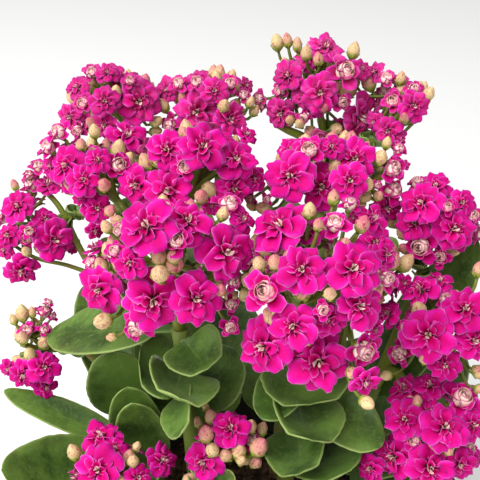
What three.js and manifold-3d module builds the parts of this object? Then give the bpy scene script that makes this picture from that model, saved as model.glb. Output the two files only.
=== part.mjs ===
// A flaming katy with double flowers, in a plain nursery pot of dark plastic. Millimetres, +Z up, origin
// in the middle of the pot's foot. The viewer of the photograph stands on the -Y side. Each shoot, with
// its leaves and the stalks of its flower heads, is one solid, and so is each flower head.

import * as THREE from "three";
import { mergeVertices } from "three/addons/utils/BufferGeometryUtils.js";
import Module from "manifold-3d";

const wasm = await Module();
wasm.setup();

// Driving dimensions.

const pot = {
  footRadius: 43,
  bodyRadius: 56.5,
  rimRadius: 60,
  height: 105,
  rimHeight: 14,
  rimFlare: 0.8,
  ledge: 4,
  wall: 2.4,
  floor: 3,
  sides: 24,
  drainCount: 4,
  drainRadius: 4.5,
  drainCircle: 27,
};

// The soil is nearly flat over the mound's share of the pot's radius and falls to the wall beyond it.
const soil = {
  surface: 91,
  crown: 3,
  mound: 0.55,
  floorGap: 0.4,
  wallGap: 0.8,
  holeDepth: 24,
  holeRadius: 5.4,
  holeLength: 60,
};

const holeSides = 8;

// The sizes of a bloom are shares of its radius, with heights over the corners of its outer petals, apart
// from the calyx and the plain radius in millimetres. Half the angle between the two corners of a petal's
// tip is the shoulder. A bloom under the plain radius has tips with one corner, no valley between its
// whorls and no notches in the inner one. A half-open one has a cone of rolled petals in its middle. A
// bloom shows at a slant, so it is wider than it looks by the slant's factor.
const bloomShape = {
  petals: 4,
  shoulder: 0.42,
  notch: 0.66,
  plainNotch: 0.58,
  droop: 0.06,
  innerRadius: 0.8,
  innerNotch: 0.48,
  innerHeight: 0.26,
  valleyRadius: 0.33,
  valleyHeight: 0.03,
  eyeHeight: 0.15,
  plainEyeHeight: -0.12,
  coneRadius: 0.45,
  coneHeight: 0.42,
  coneTip: 0.66,
  depth: 0.62,
  calyx: 1.2,
  plain: 10,
  slant: 1.22,
};

// A bud's heights are shares of its radius. It stands up to its rise, in millimetres, over the dome.
const budShape = { sides: 4, widest: -0.15, tip: 1.6, depth: 1.3, calyx: 1, rise: 3 };

// The core's radii, the roots of the pedicels in it and the hub under it are shares of the dome's radii.
// The stalk leaves its fork straight up over the bend's share of the way.
const headShape = { core: 0.7, rootDepth: 0.1, hub: 0.72, bend: 0.42 };

const stemShape = {
  sides: 6,
  rings: 5,
  root: 4.2,
  fork: 3,
  straight: 6,
  knee: 0.4,
  kneeRise: 4,
  gap: 0.35,
};

const stalkShape = { sides: 4, spans: 3, fork: 2.6, end: 1.8, overlap: 0.05, neck: 5 };

// A leaf's outline is half a sine wave over its blade, drawn towards its foot and filled out by two
// powers, and its margin waves in and out. A leaf under the small half width has one scallop less on each
// side, and so has a leaf at the sides or the back.
const leafShape = {
  scallops: 5,
  small: 14.5,
  petiole: 3,
  bladeStart: 0.16,
  skew: 0.85,
  fullness: 0.55,
  wave: 0.07,
  cupCurve: 1.6,
  cupStart: 0.12,
  thick: 1.9,
  rim: 0.9,
  rootDepth: 2,
  towardsViewer: 0.3,
};

// Places read from the photograph are its pixels. The eye point and the width of the view turn a pixel
// into a line of sight, and a flower sits where that line meets the dome of its head.

const view = { eye: [0, -265, 405], tilt: 33, focal: 896, middle: 240, margin: 10 };

// Shoots: where each stands in the soil, the fork of its flower stalks, and its leaves. A leaf has the
// height of its node on the stem, its tip, its half width, how far its middle sags and how far its margins
// are raised. A tip is [x, y, z], or a pixel of the photograph and its depth from the eye. A leaf's face
// looks up, unless it says where.

const shoots = [
  {
    name: "shoot_left",
    root: [-18, -2],
    fork: [-23, 4, 190],
    leaves: [
      { node: 187, pixel: [208, 368, 322], wide: 9.5, bend: 3, cup: 5, faces: [-0.3, -0.3, 1] },
      { node: 174, pixel: [180, 398, 320], wide: 12, bend: 5, cup: 7, faces: [0.4, -0.3, 1] },
      { node: 170, pixel: [139, 362, 344], wide: 13, bend: 6, cup: 6 },
      { node: 164, pixel: [178, 436, 322], wide: 6.5, bend: 1, cup: 3, faces: [-0.7, -0.3, 0.7] },
      { node: 152, pixel: [238, 352, 356], wide: 12, bend: 3, cup: 4 },
      { node: 189, pixel: [48, 334, 378], wide: 12, bend: 0, cup: 3 },
    ],
  },
  {
    name: "shoot_right",
    root: [18, -4],
    fork: [25, 0, 190],
    leaves: [
      { node: 184, pixel: [310, 404, 318], wide: 15, bend: 7, cup: 8, faces: [-0.2, -0.3, 1] },
      { node: 176, pixel: [262, 419, 326], wide: 7.5, bend: 1, cup: 3 },
      { node: 168, pixel: [314, 440, 318], wide: 12.5, bend: 6, cup: 7, faces: [0.35, -0.3, 1] },
      { node: 150, pixel: [298, 474, 322], wide: 10.3, bend: 5, cup: 6, faces: [-0.4, -0.3, 1] },
      { node: 164, pixel: [382, 446, 334], wide: 10, bend: 1, cup: 4 },
      { node: 162, pixel: [340, 376, 354], wide: 12, bend: 3, cup: 4 },
      { node: 138, pixel: [350, 470, 330], wide: 13, bend: 3, cup: 4 },
    ],
  },
  {
    name: "shoot_back_left",
    root: [-13, 22],
    fork: [-34, 64, 190],
    leaves: [
      { node: 134, tip: [-48, 94, 158], wide: 17, bend: 4, cup: 6 },
      { node: 120, tip: [0, 86, 144], wide: 16, bend: 4, cup: 6 },
      { node: 112, tip: [-12, 26, 160], wide: 12, bend: 1, cup: 3, faces: [0, -1, 0.2] },
      { node: 106, tip: [-34, 22, 152], wide: 13, bend: 1, cup: 3, faces: [0, -1, 0.2] },
      { node: 152, tip: [-62, 72, 187], wide: 12, bend: 3, cup: 5 },
      { node: 168, tip: [-20, 92, 194], wide: 12, bend: 3, cup: 4 },
      { node: 108, tip: [-50, 78, 126], wide: 14, bend: 4, cup: 5 },
    ],
  },
  {
    name: "shoot_back_right",
    root: [17, 22],
    fork: [36, 64, 190],
    leaves: [
      { node: 134, tip: [42, 94, 158], wide: 17, bend: 4, cup: 6 },
      { node: 114, tip: [76, 62, 138], wide: 17, bend: 3, cup: 5 },
      { node: 116, tip: [12, 32, 158], wide: 13, bend: 1, cup: 3, faces: [0, -1, 0.2] },
      { node: 152, tip: [70, 74, 186], wide: 12.5, bend: 3, cup: 5 },
      { node: 168, tip: [22, 94, 194], wide: 12, bend: 3, cup: 4 },
      { node: 104, tip: [50, 76, 122], wide: 15, bend: 4, cup: 5 },
    ],
  },
  {
    name: "shoot_far_right",
    root: [35, 2],
    fork: [56, 14, 152],
    leaves: [
      { node: 128, tip: [98, 36, 150], wide: 16, bend: 3, cup: 5 },
      { node: 114, tip: [88, -16, 122], wide: 16, bend: 3, cup: 5 },
      { node: 108, tip: [46, -54, 128], wide: 16, bend: 4, cup: 5 },
      { node: 109, tip: [86, 20, 122], wide: 14, bend: 2, cup: 4 },
      { node: 136, pixel: [477, 239, 354], wide: 11, bend: 4, cup: 4 },
    ],
  },
  {
    name: "shoot_far_left",
    root: [-36, 8],
    fork: [-60, 34, 142],
    leaves: [
      { node: 122, pixel: [111, 351, 356], wide: 12, bend: 1, cup: 2, faces: [0.1, -1, 0.2] },
      { node: 112, pixel: [127, 388, 361], wide: 9, bend: 1, cup: 2, faces: [0.1, -1, 0.2] },
      { node: 104, pixel: [132, 404, 355], wide: 9, bend: 1, cup: 2, faces: [0.1, -1, 0.2] },
      { node: 98, pixel: [2, 470, 346], wide: 17, bend: 4, cup: 6 },
      { node: 114, pixel: [4, 390, 384], wide: 5.2, bend: 2, cup: 2 },
      { node: 126, tip: [-70, 66, 166], wide: 10, bend: 3, cup: 4 },
      { node: 106, tip: [-93, 6, 116], wide: 13, bend: 2, cup: 4 },
    ],
  },
  {
    name: "shoot_front",
    root: [-18, -26],
    fork: [-20, -27, 116],
    leaves: [
      { node: 110, tip: [-36, -80, 126], wide: 16, bend: 4, cup: 6 },
      { node: 106, tip: [22, -78, 124], wide: 16, bend: 4, cup: 6 },
      { node: 112, pixel: [234, 478, 330], wide: 8, bend: 2, cup: 3 },
      { node: 107, tip: [-8, -88, 124], wide: 15, bend: 2, cup: 5 },
    ],
  },
];

// Flower heads. Each has the shoot that carries it, the middle and the radii of the dome on which its
// flowers lie, and the flowers that show from the front: open ones, half-open ones and buds, each by its
// pixel and the width that it fills there. A crowded head has none at its back.

const heads = [
  {
    name: "head_front_right",
    shoot: "shoot_right",
    middle: [25, -28, 233],
    radii: [24, 23, 25],
    open: [
      [280, 226, 56], [302, 270, 44], [353, 269, 50], [359, 306, 44], [293, 326, 42],
      [263, 347, 52], [318, 362, 58], [373, 219, 30], [365, 382, 30], [387, 255, 28],
    ],
    half: [[335, 225, 31], [350, 205, 22], [266, 292, 41], [385, 280, 27], [323, 310, 20], [362, 350, 36]],
    buds: [
      [310, 217, 14], [358, 230, 15], [332, 205, 12], [261, 265, 14], [277, 263, 15],
      [329, 293, 13], [352, 372, 13], [365, 399, 14],
    ],
  },
  {
    name: "head_front_left",
    shoot: "shoot_left",
    middle: [-23, -20, 239],
    radii: [24, 22, 22],
    open: [
      [147, 226, 52], [188, 221, 42], [226, 253, 52], [153, 301, 54],
      [196, 299, 47], [99, 290, 43], [130, 263, 30],
    ],
    half: [
      [228, 206, 30], [176, 241, 30], [115, 251, 20], [138, 326, 33],
      [232, 281, 21], [230, 304, 20], [230, 327, 20],
    ],
    buds: [
      [161, 272, 18], [173, 257, 13], [219, 218, 12], [112, 230, 12], [106, 318, 17],
      [220, 290, 13],
    ],
  },
  {
    name: "head_upper_left",
    shoot: "shoot_left",
    middle: [-16, 27, 247],
    radii: [25, 18, 18],
    open: [
      [168, 191, 46], [167, 150, 36], [203, 147, 45], [236, 159, 38],
      [136, 185, 36], [254, 179, 26], [234, 189, 32],
    ],
    half: [[185, 167, 25]],
    buds: [[201, 193, 14], [122, 215, 12]],
  },
  {
    name: "head_left",
    shoot: "shoot_left",
    middle: [-54, 36, 237],
    radii: [19, 18, 19],
    open: [[66, 166, 36], [84, 180, 30], [127, 136, 38], [97, 208, 28], [98, 160, 24]],
    half: [[118, 165, 27], [49, 148, 24], [59, 133, 24]],
    buds: [[104, 185, 14], [110, 210, 12], [95, 136, 12]],
  },
  {
    name: "head_back_left",
    shoot: "shoot_back_left",
    middle: [-53, 92, 244],
    radii: [20, 18, 17],
    open: [[139, 102, 42], [105, 101, 28], [77, 87, 24], [107, 72, 22], [70, 117, 24], [104, 125, 24]],
    half: [[92, 73, 20], [130, 81, 16], [83, 103, 20]],
    buds: [],
  },
  {
    name: "head_back_middle",
    shoot: "shoot_back_left",
    middle: [-13, 90, 245],
    radii: [18, 18, 16],
    open: [[197, 112, 44], [167, 90, 24], [214, 91, 26], [230, 119, 32]],
    half: [[171, 124, 22], [197, 82, 20], [179, 84, 20], [230, 84, 20], [243, 95, 16]],
    buds: [[165, 106, 12], [222, 106, 12]],
  },
  {
    name: "head_middle_right",
    shoot: "shoot_right",
    middle: [31.5, 32, 241.4],
    radii: [27, 18, 18],
    open: [
      [290, 176, 43], [321, 187, 41], [350, 181, 33], [291, 150, 26],
      [332, 147, 24], [355, 159, 38], [387, 208, 30],
    ],
    half: [[309, 151, 30], [391, 169, 30], [391, 190, 28], [398, 150, 18]],
    buds: [[348, 185, 14], [367, 185, 13], [379, 159, 14], [267, 205, 14]],
  },
  {
    name: "head_back_right",
    shoot: "shoot_back_right",
    middle: [32, 95, 249],
    radii: [20, 18, 19],
    open: [
      [288, 75, 29], [326, 47, 31], [320, 93, 35], [281, 113, 28],
      [360, 117, 42], [304, 96, 22], [344, 128, 22], [362, 69, 20],
    ],
    half: [[344, 72, 34], [342, 102, 20], [260, 99, 20]],
    buds: [[280, 47, 13], [307, 57, 12], [349, 56, 13], [310, 130, 12], [335, 126, 12]],
  },
  {
    name: "head_far_right",
    shoot: "shoot_back_right",
    middle: [69, 87, 242],
    radii: [15, 16, 17],
    open: [[375, 72, 20], [414, 106, 28], [388, 131, 26]],
    half: [[387, 80, 22], [393, 101, 23], [413, 90, 20], [399, 138, 16]],
    buds: [[370, 84, 15], [425, 96, 12]],
  },
  {
    name: "head_right_top",
    shoot: "shoot_far_right",
    middle: [76, 28, 222],
    radii: [15, 15, 17],
    open: [[421, 203, 38], [454, 229, 40], [436, 186, 28], [415, 223, 32], [462, 203, 24]],
    half: [[418, 184, 22], [447, 207, 18], [471, 215, 24], [421, 246, 34], [440, 257, 22]],
    buds: [[393, 219, 16], [403, 233, 12]],
  },
  {
    name: "head_right_middle",
    shoot: "shoot_far_right",
    middle: [75, -2, 195],
    radii: [18, 17, 17],
    open: [
      [420, 289, 33], [428, 335, 47], [466, 309, 42], [474, 341, 36],
      [440, 281, 24], [388, 313, 26], [445, 365, 30],
    ],
    half: [[401, 353, 27]],
    buds: [[476, 274, 12]],
  },
  {
    name: "head_low_right",
    shoot: "shoot_far_right",
    middle: [73.5, -18, 159],
    radii: [19, 18, 18],
    open: [
      [405, 388, 36], [430, 385, 30], [405, 419, 36], [445, 427, 42], [474, 425, 28],
      [393, 457, 43], [430, 468, 45], [460, 465, 30], [370, 468, 26],
    ],
    half: [[462, 399, 36]],
    buds: [],
  },
  {
    name: "head_low_left",
    shoot: "shoot_front",
    middle: [-49, -21, 139],
    radii: [15, 14, 13],
    open: [[101, 437, 37], [98, 470, 44], [163, 460, 32], [138, 478, 26]],
    half: [],
    buds: [[76, 454, 14], [132, 462, 12], [182, 479, 14]],
  },
  {
    name: "head_low_middle",
    crowded: true,
    shoot: "shoot_front",
    middle: [-5, -18, 150],
    radii: [13, 12, 12],
    open: [[231, 428, 34], [203, 462, 36]],
    half: [],
    buds: [
      [212, 419, 13], [207, 435, 16], [213, 450, 14], [247, 430, 13], [259, 431, 12],
      [253, 447, 18], [255, 462, 13],
    ],
  },
  {
    name: "head_low_far_left",
    shoot: "shoot_far_left",
    middle: [-89, 32, 155],
    radii: [12, 12, 14],
    open: [[24, 375, 28], [44, 367, 30], [46, 387, 22], [8, 369, 18]],
    half: [[44, 313, 20], [44, 330, 14]],
    buds: [[23, 316, 14], [23, 338, 12]],
  },
  {
    name: "head_far_left",
    shoot: "shoot_back_left",
    middle: [-89, 65, 197],
    radii: [15, 15, 15],
    open: [[18, 207, 30], [8, 235, 24], [54, 240, 36], [21, 271, 32], [48, 184, 24], [75, 246, 16]],
    half: [[31, 186, 24], [38, 168, 20], [29, 231, 17]],
    buds: [],
  },
  {
    name: "head_inner_middle",
    inner: true,
    shoot: "shoot_right",
    middle: [3, 10, 212],
    radii: [17, 13, 15],
  },
  {
    name: "head_inner_right",
    inner: true,
    shoot: "shoot_right",
    middle: [50.5, 12, 208],
    radii: [12, 12, 19],
  },
  {
    name: "head_inner_left",
    inner: true,
    shoot: "shoot_left",
    middle: [-46, 12, 210],
    radii: [13, 13, 14],
  },
  { name: "head_rear_left", shoot: "shoot_back_left", middle: [-42, 112, 196], radii: [18, 16, 16] },
  { name: "head_rear_right", shoot: "shoot_back_right", middle: [46, 118, 198], radii: [18, 16, 16] },
];

// Flowers that don't show, and those of the small gaps between the listed ones, are laid on each dome by
// one rule: evenly from its top down, where the dome turns from the viewer by the hidden share or faces
// the viewer by the open share, and clear of the stalk, of all other flowers and of the other domes. An
// inner head, in the shade between the others, has only such flowers, on all its sides.
const farSide = {
  tries: 13,
  lowest: -0.3,
  hidden: -0.35,
  open: 0.4,
  domeRoom: { outer: 1.2, inner: 1 },
  stalkRoom: -0.3,
  diameters: [14.5, 13, 12, 6],
  kinds: ["open", "half", "open", "bud"],
};

// Where the backdrop shows between the heads: pixels, and how far round them.
const gaps = [
  [88, 205, 16], [265, 194, 12], [262, 134, 20], [95, 335, 20], [78, 372, 16], [424, 134, 20], [265, 154, 13],
  [37, 213, 9], [52, 209, 9], [70, 200, 8], [9, 348, 16], [468, 196, 9], [430, 108, 9], [140, 70, 12],
  [203, 68, 12], [271, 66, 13], [318, 76, 9], [412, 78, 10], [379, 62, 10], [443, 178, 9], [406, 126, 10],
];

// How flowers that would cross slide apart: rounds, room left between two, and the share moved each time.
const settling = { rounds: 30, clear: 0.8, step: 0.25 };

// A flower faces out of its dome, with a share towards the light in front, a share up and a lean of its
// own, and buds stand almost upright. These shares ease off, step by step, until the flower faces at
// least so far out.
const facingShares = {
  open: { front: 1, up: 0.25, lean: 0.6, leastOut: 0.25 },
  half: { front: 0.6, up: 0.5, lean: 0.6, leastOut: 0.3 },
  bud: { front: 0, up: 1.7, lean: 0.7, leastOut: 0.5 },
  easing: 0.25,
};

const seeds = { seen: 1000, farSide: 5000, step: 77 };

const goldenAngle = Math.PI * (3 - Math.sqrt(5));

// Places.

const vec = (a) => new THREE.Vector3(...a);
const up = new THREE.Vector3(0, 0, 1);
const eye = vec(view.eye);
const tilt = THREE.MathUtils.degToRad(view.tilt);
const ahead = new THREE.Vector3(0, Math.cos(tilt), -Math.sin(tilt));
const pictureUp = new THREE.Vector3(0, Math.sin(tilt), Math.cos(tilt));

function sightLine(u, v) {
  return ahead
    .clone()
    .add(new THREE.Vector3((u - view.middle) / view.focal, 0, 0))
    .addScaledVector(pictureUp, -(v - view.middle) / view.focal);
}

function pointAt([u, v, depth]) {
  return eye.clone().addScaledVector(sightLine(u, v), depth);
}

function pixelOf(point) {
  const from = point.clone().sub(eye);
  const depth = from.dot(ahead);
  const across = (from.x / depth) * view.focal;
  const above = (from.dot(pictureUp) / depth) * view.focal;
  return [view.middle + across, view.middle - above, depth];
}

// A seeded row of numbers from 0 to 1.
function drawer(seed) {
  let state = seed;
  return () => {
    state = (state * 16807) % 2147483647;
    return state / 2147483647;
  };
}

// Where a line of sight meets a head's dome, or comes nearest to it.
function onDome(head, u, v) {
  const radii = vec(head.radii);
  const from = eye.clone().sub(vec(head.middle)).divide(radii);
  const line = sightLine(u, v);
  const along = line.clone().divide(radii);
  const a = along.lengthSq();
  const b = from.dot(along);
  const room = b * b - a * (from.lengthSq() - 1);
  const depth = (-b - Math.sqrt(Math.max(room, 0))) / a;
  return eye.clone().addScaledVector(line, depth);
}

function domeNormal(head, point) {
  const radii = vec(head.radii);
  return point.clone().sub(vec(head.middle)).divide(radii).divide(radii).normalize();
}

// The flowers of every head: kind, place of the face's middle, the way it faces, radius and spin.
function allFlowers() {
  const seen = heads.map(seenFlowers);
  settle(seen.flat());
  const placed = seen.flat();
  return heads.map((head, index) => {
    const rest = farFlowers(head, index, placed);
    placed.push(...rest);
    return [...seen[index], ...rest];
  });
}

function seenFlowers(head, index) {
  const draw = drawer(seeds.seen + seeds.step * index);
  const found = [];
  for (const [kind, list] of [["open", head.open], ["half", head.half], ["bud", head.buds]])
    for (const [u, v, width] of list ?? []) {
      const place = onDome(head, u, v);
      const shown = (width * pixelOf(place)[2]) / view.focal / 2;
      const radius = shown * (kind === "bud" ? 1 : bloomShape.slant);
      const outward = domeNormal(head, place);
      if (kind === "bud") place.addScaledVector(outward, budShape.rise * draw());
      const normal = facing(kind, place, outward, true, draw);
      found.push({ kind, place, radius, normal, spin: draw() * Math.PI });
    }
  return found;
}

function facing(kind, place, outward, inFront, draw) {
  const shares = facingShares[kind];
  const pull = new THREE.Vector3(draw() - 0.5, draw() - 0.5, draw() - 0.5)
    .multiplyScalar(shares.lean)
    .addScaledVector(up, shares.up)
    .addScaledVector(eye.clone().sub(place).normalize(), inFront ? shares.front : 0);
  for (let share = 1; share > 0; share -= facingShares.easing) {
    const normal = outward.clone().addScaledVector(pull, share).normalize();
    if (normal.dot(outward) > shares.leastOut) return normal;
  }
  return outward;
}

function farFlowers(head, index, placed) {
  const draw = drawer(seeds.farSide + seeds.step * index);
  const found = [];
  const { axis } = stalkOf(head);
  for (let i = 0; i < farSide.tries; i++) {
    const height = 1 - ((i + 0.5) / farSide.tries) * (1 - farSide.lowest);
    const turn = i * goldenAngle + index;
    const flat = Math.sqrt(1 - height * height);
    const onUnit = vec([flat * Math.cos(turn), flat * Math.sin(turn), height]);
    const place = onUnit.clone().multiply(vec(head.radii)).add(vec(head.middle));
    const outward = domeNormal(head, place);
    const [u, v] = pixelOf(place);
    const fromMiddle = Math.max(Math.abs(u - view.middle), Math.abs(v - view.middle));
    const inPicture = fromMiddle < view.middle + view.margin;
    const towards = eye.clone().sub(place).normalize();
    const seen = (head.open || head.inner) && inPicture ? outward.dot(towards) : -1;
    if (!head.inner && seen > farSide.hidden && seen < farSide.open) continue;
    if (inPicture && gaps.some(([x, y, reach]) => Math.hypot(u - x, v - y) < reach)) continue;
    if (head.crowded || onUnit.dot(axis) < farSide.stalkRoom) continue;
    const room = head.inner ? farSide.domeRoom.inner : farSide.domeRoom.outer;
    if (heads.some((h) => h !== head && inDome(h, place, room))) continue;
    const pick = Math.floor(draw() * farSide.kinds.length);
    const kind = farSide.kinds[pick];
    const radius = farSide.diameters[pick] / 2;
    const normal = facing(kind, place, outward, seen > 0, draw);
    const flower = { kind, place, radius, normal, spin: draw() * Math.PI };
    if ([...placed, ...found].every((other) => crossing(other, flower) <= 0)) found.push(flower);
  }
  return found;
}

function inDome(head, place, room) {
  return place.clone().sub(vec(head.middle)).divide(vec(head.radii)).length() < room;
}

// How far two flowers reach into each other, along the way they face.
function crossing(a, b) {
  const apart = b.place.clone().sub(a.place);
  if (apart.lengthSq() > 4 * (a.radius + b.radius) ** 2) return 0;
  const rise = apart.dot(a.normal.clone().add(b.normal).normalize());
  const across = Math.sqrt(Math.max(apart.lengthSq() - rise * rise, 0));
  return bloomShape.depth * (a.radius + b.radius + settling.clear - across) - Math.abs(rise);
}

// Flowers whose faces would cross slide apart along their lines of sight, the nearer one towards the eye.
function settle(flowers) {
  for (let round = 0; round < settling.rounds; round++)
    flowers.forEach((a, i) => {
      for (const b of flowers.slice(i + 1)) {
        const depth = crossing(a, b);
        if (depth <= 0) continue;
        const rise = b.place.clone().sub(a.place).dot(a.normal.clone().add(b.normal));
        const step = settling.step * depth * (rise >= 0 ? 1 : -1);
        a.place.addScaledVector(eye.clone().sub(a.place).normalize(), -step);
        b.place.addScaledVector(eye.clone().sub(b.place).normalize(), step);
      }
    });
}

// Closed skins. A loop is a list of points round an axis, each with its angle. A skin joins loop after
// loop with triangles, always to the point whose angle comes next, and closes both ends.

function frameOf(normal, hint = new THREE.Vector3(1, 0, 0)) {
  const across = hint.clone().addScaledVector(normal, -hint.dot(normal));
  if (across.lengthSq() < 1e-4) across.set(0, 1, 0).addScaledVector(normal, -normal.y);
  across.normalize();
  return { across, along: new THREE.Vector3().crossVectors(normal, across), normal };
}

function loopOf(frame, middle, polar) {
  return polar
    .map(([angle, radius, height]) => ({
      angle: THREE.MathUtils.euclideanModulo(angle, 2 * Math.PI),
      point: middle
        .clone()
        .addScaledVector(frame.across, radius * Math.cos(angle))
        .addScaledVector(frame.along, radius * Math.sin(angle))
        .addScaledVector(frame.normal, height),
    }))
    .sort((a, b) => a.angle - b.angle);
}

function roundLoop(frame, middle, count, radius, height = 0, turn = 0) {
  const polar = Array.from({ length: count }, (_, i) => [turn + (i * 2 * Math.PI) / count, radius, height]);
  return loopOf(frame, middle, polar);
}

// The edge of a whorl: a petal's tip has one corner for each of the given angles, and between two petals
// is a notch.
function petalLoop(frame, middle, tips, radius, notch, notchHeight, turn) {
  const polar = [];
  for (let i = 0; i < bloomShape.petals; i++) {
    const at = turn + (i * 2 * Math.PI) / bloomShape.petals;
    for (const tip of tips) polar.push([at + tip, radius, 0]);
    polar.push([at + Math.PI / bloomShape.petals, notch, notchHeight]);
  }
  return loopOf(frame, middle, polar);
}

function skin(loops) {
  const points = [];
  const starts = loops.map((loop) => points.push(...loop.map((p) => p.point)) - loop.length);
  const faces = [];
  const first = loops[0].length;
  for (let i = 1; i + 1 < first; i++) faces.push([0, i + 1, i]);
  for (let k = 0; k + 1 < loops.length; k++) {
    const [a, b] = [loops[k], loops[k + 1]];
    const angleOf = (loop, i) => loop[i % loop.length].angle + 2 * Math.PI * Math.floor(i / loop.length);
    let [i, j] = [0, 0];
    const iEnd = a.length > 1 ? a.length : 0;
    const jEnd = b.length > 1 ? b.length : 0;
    while (i < iEnd || j < jEnd) {
      const [p, q] = [starts[k] + (i % a.length), starts[k + 1] + (j % b.length)];
      const aheadInA = angleOf(a, i + 1) + angleOf(a, i) <= angleOf(b, j + 1) + angleOf(b, j);
      if (j >= jEnd || (i < iEnd && aheadInA)) {
        faces.push([p, starts[k] + ((i + 1) % a.length), q]);
        i++;
      } else {
        faces.push([p, starts[k + 1] + ((j + 1) % b.length), q]);
        j++;
      }
    }
  }
  const last = loops.at(-1).length;
  const end = starts.at(-1);
  for (let i = 1; i + 1 < last; i++) faces.push([end, end + i, end + i + 1]);
  return solidFrom(points, faces);
}

// Solids.

function closedSolid(coordinates, corners) {
  const vertProperties = new Float32Array(coordinates);
  const triVerts = new Uint32Array(corners);
  return new wasm.Manifold(new wasm.Mesh({ numProp: 3, vertProperties, triVerts }));
}

function solidFrom(points, faces) {
  const used = [...new Set(faces.flat())];
  const place = new Map(used.map((point, i) => [point, i]));
  const coordinates = used.flatMap((i) => points[i].toArray());
  return closedSolid(coordinates, faces.flat().map((i) => place.get(i)));
}

function solidOf(geometry) {
  const bare = geometry.clone().deleteAttribute("normal").deleteAttribute("uv");
  const merged = mergeVertices(bare, 1e-4);
  return closedSolid(merged.attributes.position.array, merged.index.array);
}

function geometryOf(solid) {
  const mesh = solid.getMesh();
  const geometry = new THREE.BufferGeometry();
  geometry.setAttribute("position", new THREE.BufferAttribute(new Float32Array(mesh.vertProperties), 3));
  geometry.setIndex(new THREE.BufferAttribute(new Uint32Array(mesh.triVerts), 1));
  geometry.computeVertexNormals();
  return geometry;
}

function fuse(solids) {
  return wasm.Manifold.union(solids);
}

// Flowers. Each runs from the root of its pedicel over its calyx to its face in one skin.

const calyxSides = 3;

function flowerSkin(flower, root) {
  const { kind, place, normal, radius: r, spin } = flower;
  const frame = frameOf(normal);
  const base = calyxOf(flower);
  const stalk = [{ angle: 0, point: root }];
  const at = (height) => place.clone().addScaledVector(normal, height * r);
  if (kind === "bud")
    return skin([
      stalk,
      roundLoop(frame, base, calyxSides, budShape.calyx),
      roundLoop(frame, at(budShape.widest), budShape.sides, r),
      roundLoop(frame, at(budShape.tip), 1, 0),
    ]);
  const shape = bloomShape;
  const isPlain = r < shape.plain;
  const tips = isPlain ? [0] : [-shape.shoulder, shape.shoulder];
  const notch = isPlain ? shape.plainNotch : shape.notch;
  const outer = petalLoop(frame, place, tips, r, notch * r, -shape.droop * r, spin);
  const lower = [stalk, roundLoop(frame, base, calyxSides, shape.calyx), outer];
  if (kind === "half") {
    const cone = roundLoop(frame, at(shape.coneHeight), shape.petals, shape.coneRadius * r, 0, spin);
    return skin([...lower, cone, ...(isPlain ? [] : [roundLoop(frame, at(shape.coneTip), 1, 0)])]);
  }
  const turn = spin + Math.PI / shape.petals;
  const valley = roundLoop(frame, at(shape.valleyHeight), shape.petals, shape.valleyRadius * r, 0, turn);
  const [radius, notchRadius] = [shape.innerRadius * r, shape.innerNotch * r];
  const top = at(shape.innerHeight);
  if (isPlain) {
    const plainInner = roundLoop(frame, top, shape.petals, radius, 0, turn);
    return skin([...lower, plainInner, roundLoop(frame, at(shape.plainEyeHeight), 1, 0)]);
  }
  const inner = petalLoop(frame, top, [0], radius, notchRadius, -shape.droop * r, turn);
  return skin([...lower, valley, inner, roundLoop(frame, at(shape.eyeHeight), 1, 0)]);
}

function calyxOf({ kind, place, normal, radius }) {
  const depth = kind === "bud" ? budShape.depth : bloomShape.depth;
  return place.clone().addScaledVector(normal, -depth * radius);
}

// A tube of the given radii through points, closed at both ends.
function tube(points, radii, sides) {
  let across = new THREE.Vector3(1, 0, 0);
  return skin(
    points.map((p, i) => {
      const ahead = (points[i + 1] ?? p).clone().sub(points[i - 1] ?? p).normalize();
      const frame = frameOf(ahead, across);
      across = frame.across;
      return roundLoop(frame, p, sides, radii[i]);
    }),
  );
}

// A head's stalk leaves the fork upwards and ends under the dome, just short of the neck of the head at
// its hub.
function stalkOf(head) {
  const shoot = shoots.find((s) => s.name === head.shoot);
  const fork = vec(shoot.fork);
  const middle = vec(head.middle);
  const rise = fork.clone().sub(vec([...shoot.root, soil.surface])).normalize();
  const control = fork.clone().addScaledVector(rise, headShape.bend * middle.distanceTo(fork));
  const axis = middle.clone().sub(control).normalize();
  const size = (head.radii[0] + head.radii[1] + head.radii[2]) / 3;
  const hub = middle.clone().addScaledVector(axis, -headShape.hub * size);
  return { fork, control, axis, hub };
}

// The pedicels of a head rise from a small core at the end of its stalk, each in its own direction.
function headSolid(head, flowers) {
  const { axis, hub } = stalkOf(head);
  const core = vec(head.radii).multiplyScalar(headShape.core);
  const middle = vec(head.middle);
  const neck = hub.clone().addScaledVector(axis, -stalkShape.neck);
  const ball = new THREE.IcosahedronGeometry(1, 0).scale(...core.toArray()).translate(...middle.toArray());
  const pieces = [tube([neck, middle], [stalkShape.end, stalkShape.end], stalkShape.sides), solidOf(ball)];
  for (const flower of flowers) {
    const way = calyxOf(flower).sub(middle).divide(core).normalize();
    pieces.push(flowerSkin(flower, way.multiply(core).multiplyScalar(headShape.rootDepth).add(middle)));
  }
  return fuse(pieces);
}

// Leaves: a midrib that bends, margins that are raised and scalloped, and both faces split into triangles
// alike.

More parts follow.
